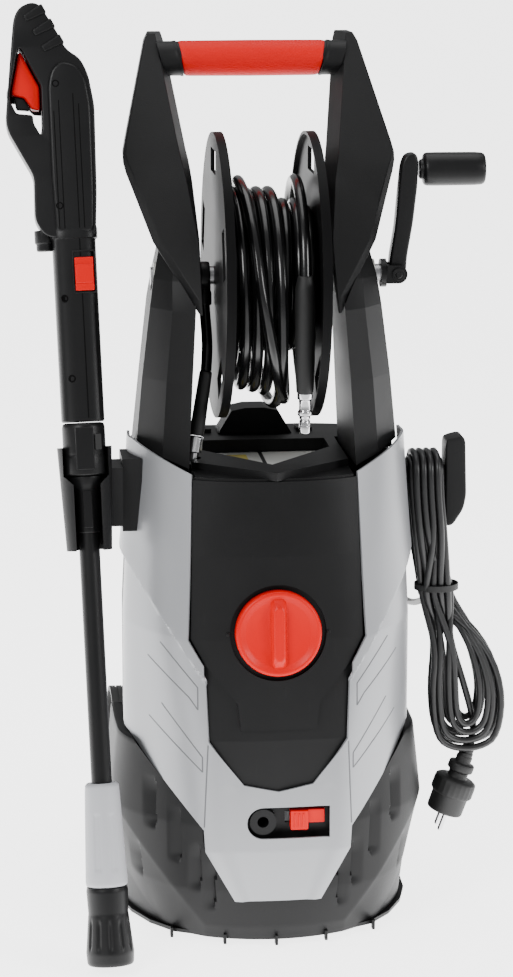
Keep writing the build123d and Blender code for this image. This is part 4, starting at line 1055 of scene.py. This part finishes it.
link_foot, link_top = np.array([-70.5, 20.0, 503.0]), np.array([-60.5, 26.0, 566.0])
link_way = along(link_foot, link_top - link_foot)
guard = soften([(0, 0.5), (7.0, 0.5), (7.4, 3), (7.2, 12), (6.3, 60), (5.9, 64), (0, 64)], 0.8)
dress(turned("link_guard", guard, link_way, 40), "machine", "rubber", replaces=("link_fittings",))
nut = soften([(0, -29), (5, -29), (5, -16.5), (7.0, -16), (7.0, -1.2), (6.2, -0.4), (0, -0.4)], 0.5)
dress(turned("link_nut", nut, link_way, 48, lambda a, h: 0.45 * np.cos(6 * a) * (h > -16.2) * (h < -1)),
      "machine", "chrome")
swivel_rings = soften([(0, -64), (13.0, -64), (13.6, -62.5), (13.6, -55.5), (13.0, -54), (0, -54)], 0.5)
dress(turned("reel_swivel", swivel_rings, along_x(reel_y, reel_z), 48), "machine", "satin_black",
      "satin_black")
stem = soften([(0, 626), (7.4, 626), (7.4, 638), (6.4, 640), (6.4, 650), (0, 650)], 0.5)
dress(turned("swivel_stem", stem, upright(-59.0, 60.0), 40), "machine", "satin_black", "satin_black")
print("link fittings")

# %% [markdown]
# ## Gun
# The gun's two halves are one rounded outline with a hole for the fingers; the barrel below
# it is a soft square tube. Both come from the same local frame, which leans with the holder.

# %% Gun body
handle_outline = [(-21, 704), (-29, 708), (-36.5, 721), (-35.3, 763), (-58, 807), (-59.6, 819), (-53, 872),
                  (-47.5, 915), (-42, 925), (-31, 930),
                  (-22, 928), (-14.4, 915), (-5, 898), (1, 884), (14.5, 875), (21.5, 859), (26, 829),
                  (24, 746), (21, 704)]
finger_hole = [(-44.5, 886), (-54, 846), (-54.5, 836), (-49, 824), (-33.5, 822), (-33, 814), (-27, 802.5),
               (-25, 810), (-24.6, 850), (-33, 867), (-42, 886)]
gun_body = plate("gun_handle_shell", [rounded(handle_outline, 7), rounded(finger_hole, 2.5)], -18, 18, 1.8,
                 on_gun, 4)
dress(gun_body, "gun", "satin_black", replaces=("gun_front", "gun_back"), sharp=50)


def soft_square(name, levels, place, power=3.4, count=72):
    """Tube through levels (height, half width, half depth): |x/a|^p + |y/b|^p = 1."""
    angle = np.linspace(0, 2 * pi, count, endpoint=False)
    grow = (np.abs(np.cos(angle)) ** power + np.abs(np.sin(angle)) ** power) ** (-1 / power)
    rings = [np.stack([a * grow * np.cos(angle), b * grow * np.sin(angle), height + 0 * angle],
                      -1) for height, a, b in levels]
    return skin(name, place(np.array(rings)))


barrel = soft_square("gun_barrel_shell", [(526, 19.6, 17.2), (527.5, 20.8, 18.4), (700, 21.0, 18.6),
                                          (702, 21.4, 19.0), (703, 23.0, 20.4), (712, 23.2, 20.6),
                                          (716, 22.0, 18)], on_gun)
dress(barrel, "gun", "satin_black")
pad_outline = [(-17, 708), (-19, 760), (-18.5, 850), (-14, 866), (-4, 873), (11, 868), (19, 855),
               (22.5, 829), (21.5, 746), (19.5, 708)]
for side, label in ((-1, "front"), (1, "back")):
    low, high = sorted((side * 12.0, side * 20.6))
    dress(plate(f"gun_spine_{label}", [rounded(pad_outline, 7)], low, high, 3.4, on_gun, 5), "gun",
          "satin_black", sharp=50)
boss = soften([(0, 692), (7.4, 692), (8.2, 693.5), (8.2, 699), (9.6, 700), (9.6, 712), (0, 712)], 0.5)
dress(turned("gun_inlet_boss", boss, lambda p: on_gun(p + np.array([-28.0, 0, 0])), 40), "gun",
      "satin_black", replaces=("gun_valve",))
print("gun body")

# %% [markdown]
# Long grooves run down the spine, and sunk screws hold the halves together. Both are drawn with painted
# shade: the grooves are near-black strips, and the screws are painted as dark as the shade in their sunk
# holes.

# %% Gun details
def gun_line(name, u, low, high, depth, width=0.9):
    """Narrow near-black strip along the gun at u, from one height to another: painted shade standing for a
    groove's shadow.
    """
    return block(name, (u - width / 2, depth - 0.25, low), (u + width / 2, depth + 0.6, high), "gun",
                 "satin_black", bevel=0.15,
                 material="groove_shade", place=on_gun)


for number, u in enumerate((-13.5, -8.5, 5.5, 10.5)):
    gun_line(f"gun_spine_line_{number + 1}", u, 712, 852 - 2 * abs(u), -20.6)
gun_line("gun_barrel_seam", 5.0, 530, 702, -18.75)
gun_line("gun_barrel_line", 18.3, 530, 640, -16.6)
for number, (u, s, front) in enumerate(((-10.5, 851.0, -20.7), (-12.3, 734.0, -20.7),
                                        (-12.3, 645.0, -18.7), (-9.0, 568.0, -18.8))):
    ring = soften([(0, 0.9), (2.1, 0.9), (2.3, -0.1), (3.3, -0.35), (3.7, 0.4), (3.7, 4), (0, 4)], 0.2)
    screw = turned(f"gun_screw_{number + 1}", ring, lambda p, a=u, b=s,
                   c=front: on_gun(np.stack([p[..., 0] + a, p[..., 2] + c, p[..., 1] + b], -1)), 28)
    # Painted shade: each screw is as dark as the shade in its sunk hole, not the colour of its steel.
    dress(screw, "gun", "steel", "groove_shade", replaces=("gun_screws",))
trigger_outline = [(-44, 883), (-53, 845), (-52, 842.5), (-40.5, 839.5), (-33.5, 828), (-26, 827),
                   (-25.6, 849), (-34, 866), (-42, 884)]
trigger = plate("red_trigger", [rounded(trigger_outline, 2.5)], -9.5, 9.5, 2.6, on_gun, 4)
dress(trigger, "trigger", "red_plastic", replaces=("gun_trigger",))
catch_outline = [(-51, 841.7), (-41, 839.2), (-35, 829.5), (-36.5, 827.5), (-48.5, 829)]
dress(plate("trigger_catch_lever", [rounded(catch_outline, 1.5)], -5, 5, 1.2, on_gun, 3), "trigger_catch",
      "satin_black", replaces=("trigger_lock",))
block("release_slide_plate", (-1, -21, 652), (17, -15.8, 684), "release", "red_plastic", bevel=0.9,
      replaces=("lance_release",), place=on_gun)
block("release_slide_pad", (-0.5, -23, 659), (16.5, -20.6, 677), "release", "red_plastic", bevel=0.8,
      place=on_gun)
frame_outline = [(-3.2, 649.5), (19.2, 649.5), (19.2, 691), (-3.2, 691)]
frame_hole = [(-1.8, 651), (17.8, 651), (17.8, 689.3), (-1.8, 689.3)]
dress(plate("release_frame", [rounded(frame_outline, 2), rounded(frame_hole, 1)], -19.6, -15, 0.5, on_gun,
            2), "gun", "satin_black")
slope, across = np.array([0.445, -0.896]), np.array([-0.896, -0.445])
for number, (u, s) in enumerate(((-19.0, 923.0), (-11.0, 909.0), (-3.2, 893.5))):
    middle = np.array([u, s])
    ends = [middle + across * f + slope * g for f,
            g in ((-1.4, -5.0), (-1.4, 5.0), (20.0, 3.2), (20.0, -3.2))]
    rib = plate(f"grip_rib_{number + 1}", [rounded([tuple(end) for end in ends], 1.8)], -20.0, 20.0, 1.6,
                on_gun, 4)
    dress(rib, "gun", "satin_black", sharp=60)
backing = [(-45, 887), (-57, 847), (-57, 837), (-42, 836), (-32, 825), (-23.5, 824), (-23.5, 850),
           (-33, 869)]
dress(plate("trigger_backing", [rounded(backing, 2)], 12.0, 16.0, 0.4, on_gun, 2), "gun", "satin_black")
print("gun details")

# %% [markdown]
# ## Lance
# The lance is a slim pipe between turned mouldings: a bayonet collar, a taper, the light
# grey grip and the nozzle head with its flutes.

# %% Lance
collar_profile = soften([(0, 474.5), (19.4, 474.5), (20.6, 476), (20.8, 492), (20.4, 493), (20.4, 495),
                         (20.8, 496), (20.8, 521), (19.8, 524.5), (17, 525.4), (0, 525.4)], 0.5)
dress(turned("lance_collar_ring", collar_profile, on_gun, 72, lambda a,
             h: -0.8 * (np.abs(np.cos(a)) > 0.82) * (h > 497) * (h < 520)), "gun", "satin_black",
             replaces=("lance_collar",), sharp=50)
block("collar_panel", (-9, -21.8, 480), (8.5, -18, 521), "gun", "satin_black", bevel=1.0, place=on_gun)
block("collar_window", (9.8, -19.8, 499), (16, -15, 514), "gun", "rubber", bevel=0.6, material="rubber",
      place=on_gun)
taper_profile = soften([(0, 419), (11.0, 419), (11.4, 421), (12.6, 462), (14.6, 466), (15.6, 472),
                        (15.6, 474.2), (0, 474.2)], 0.6)
dress(turned("lance_taper", taper_profile, on_gun, 56), "gun", "satin_black", sharp=50)
block("taper_panel", (-4.5, -13.2, 424), (4.5, -10, 460), "gun", "satin_black", bevel=0.8, place=on_gun)
grip_heights = np.array([76.4, 77.5, 80, 88, 90, 150, 152, 168, 174, 176.2])
grip_radii = np.array([18.6, 20.0, 20.4, 20.2, 20.0, 17.7, 17.6, 16.9, 16.4, 14.5])
heights = beads(grip_heights, 2.0)
sleeve_profile = np.concatenate([[(0, 76.4)], np.stack([np.interp(heights, grip_heights, grip_radii),
                                                        heights], -1), [(0, 176.2)]])


def grip_channels(angle, height):
    """Two long shallow channels on the front and two behind: a dip with square sides."""
    turn = np.mod(angle, pi) - pi / 2
    inside = (np.abs(np.abs(turn) - 0.42) < 0.16) * (height > 92) * (height < 148)
    return -0.9 * inside


dress(turned("nozzle_grip_sleeve", sleeve_profile, on_gun, 120, grip_channels), "gun", "grey_plastic",
      replaces=("nozzle_sleeve",), sharp=60)
head_heights = np.array([0.0, 1.2, 3.0, 12.0, 14.0, 47.0, 50.0, 72.0, 75.5])
head_radii = np.array([21.4, 22.4, 22.8, 23.4, 23.2, 19.9, 19.4, 20.3, 19.6])
heights = beads(head_heights, 1.5)
head_profile = np.concatenate([[(0, 26), (13.5, 26), (15.5, 1.0)],
                               np.stack([np.interp(heights, head_heights, head_radii), heights], -1),
                               [(0, 75.8)]])


def head_flutes(angle, height):
    """Twelve soft flutes between the rim and the neck: -(cos 12a > 0) squared, faded at both ends."""
    fade = np.clip((height - 14) / 6, 0, 1) * np.clip((46 - height) / 6, 0, 1)
    return -1.4 * np.clip(np.cos(12 * angle), 0, 1) ** 2 * fade


dress(turned("nozzle_head_shell", head_profile, on_gun, 144, head_flutes), "nozzle", "satin_black",
      replaces=("nozzle_head",), sharp=60)
jet = soften([(0, 30), (1.4, 30), (1.4, 24), (6.5, 24), (7.5, 26), (7.5, 30.5), (0, 30.5)], 0.3)
dress(turned("nozzle_jet_tip", jet, on_gun, 32), "nozzle", "brass", "brass")
print("lance")

# %% [markdown]
# ## Hook
# The cord hangs over a short arm that ends in an upright plate.

# %% Cord hook
hook_outline = [(182, 484), (184, 488), (198, 491.5), (202, 487), (203.8, 430), (201, 416), (190, 399),
                (182, 399)]
dress(plate("cord_hook_plate", [rounded(hook_outline, 5)], 46, 74, 2.6, stay, 4), "machine", "black_shell",
      replaces=("cord_hook",))
block("cord_hook_arm", (126, 51.2, 442), (184, 68.8, 458), "machine", "black_shell", bevel=2.0)
block("cord_hook_foot", (132, 42, 426), (142.5, 78, 470), "machine", "black_shell", bevel=2.0)
print("hook")

# %% [markdown]
# The reel flanges take a finish of their own, less bright at the low angles they are seen at.

# %% Reel flanges
flanges = frame["nodes"]["reel_flanges"]
flanges.data.materials.clear()
flanges.data.materials.append(finishes["reel_black"])
print("flanges", len(flanges.data.polygons), "faces")

# %% [markdown]
# ## Floor and light
# The floor is plain and pale. It glows under and behind the object, which gives the white
# background, and is faint in front, so that the black plastics do not mirror it.

# %% Floor
def floor_glow(tree):
    """Brightness of the floor: faint in front of the object, bright under and behind it."""
    place = tree.nodes.new("ShaderNodeTexCoord")
    split = tree.nodes.new("ShaderNodeSeparateXYZ")
    tree.links.new(place.outputs["Object"], split.inputs["Vector"])
    along = math_node(tree, "MULTIPLY", math_node(tree, "ADD", split.outputs["Y"], 0.6), 3.0, True)
    return math_node(tree, "ADD", math_node(tree, "MULTIPLY", along, 0.62), 0.05)


floor = mesh_piece("floor", np.array([(-40.0, -40.0, 0), (40.0, -40.0, 0), (40.0, 40.0, 0),
                                      (-40.0, 40.0, 0)]), [(0, 1, 2, 3)])
pale_floor = finish("pale floor", (0.9, 0.9, 0.9), gloss=0.75, bump=0.02, tone=0.02, scuffs=0.0)
shader = pale_floor.node_tree.nodes["Principled BSDF"]
glow = mix_colour(pale_floor.node_tree, floor_glow(pale_floor.node_tree), (0.0, 0.0, 0.0, 1),
                  (1.0, 1.0, 1.0, 1))
pale_floor.node_tree.links.new(glow, shader.inputs["Emission Color"])
shader.inputs["Emission Strength"].default_value = 5.0
floor.data.materials.append(pale_floor)

# %% [markdown]
# Three square area lights, large for their distance, so that highlights stay soft.

# %% Lights
def soft_light(name, place, aim, size, power):
    """Square area light at a place, turned to its aim."""
    data = bpy.data.lights.new(name, "AREA")
    data.size = size
    data.energy = power
    light = bpy.data.objects.new(name, data)
    light.location = place
    way = np.array(aim) - np.array(place)
    way = way / np.linalg.norm(way)
    light.rotation_euler = (np.arccos(-way[2]), 0, np.arctan2(way[1], way[0]) - pi / 2)
    bpy.context.collection.objects.link(light)
    return light


soft_light("key", (-1.9, -2.2, 2.3), (0, 0, 0.45), 1.2, 75)
soft_light("fill", (2.3, -1.7, 1.5), (0, 0, 0.4), 1.0, 42)
soft_light("top", (0.0, 0.4, 2.8), (0, 0, 0.3), 2.0, 30)
world = bpy.data.worlds.new("studio")
world.use_nodes = True
world.node_tree.nodes["Background"].inputs["Color"].default_value = (0.95, 0.96, 0.97, 1)
world.node_tree.nodes["Background"].inputs["Strength"].default_value = 0.45
bpy.context.scene.world = world
print("studio ready")
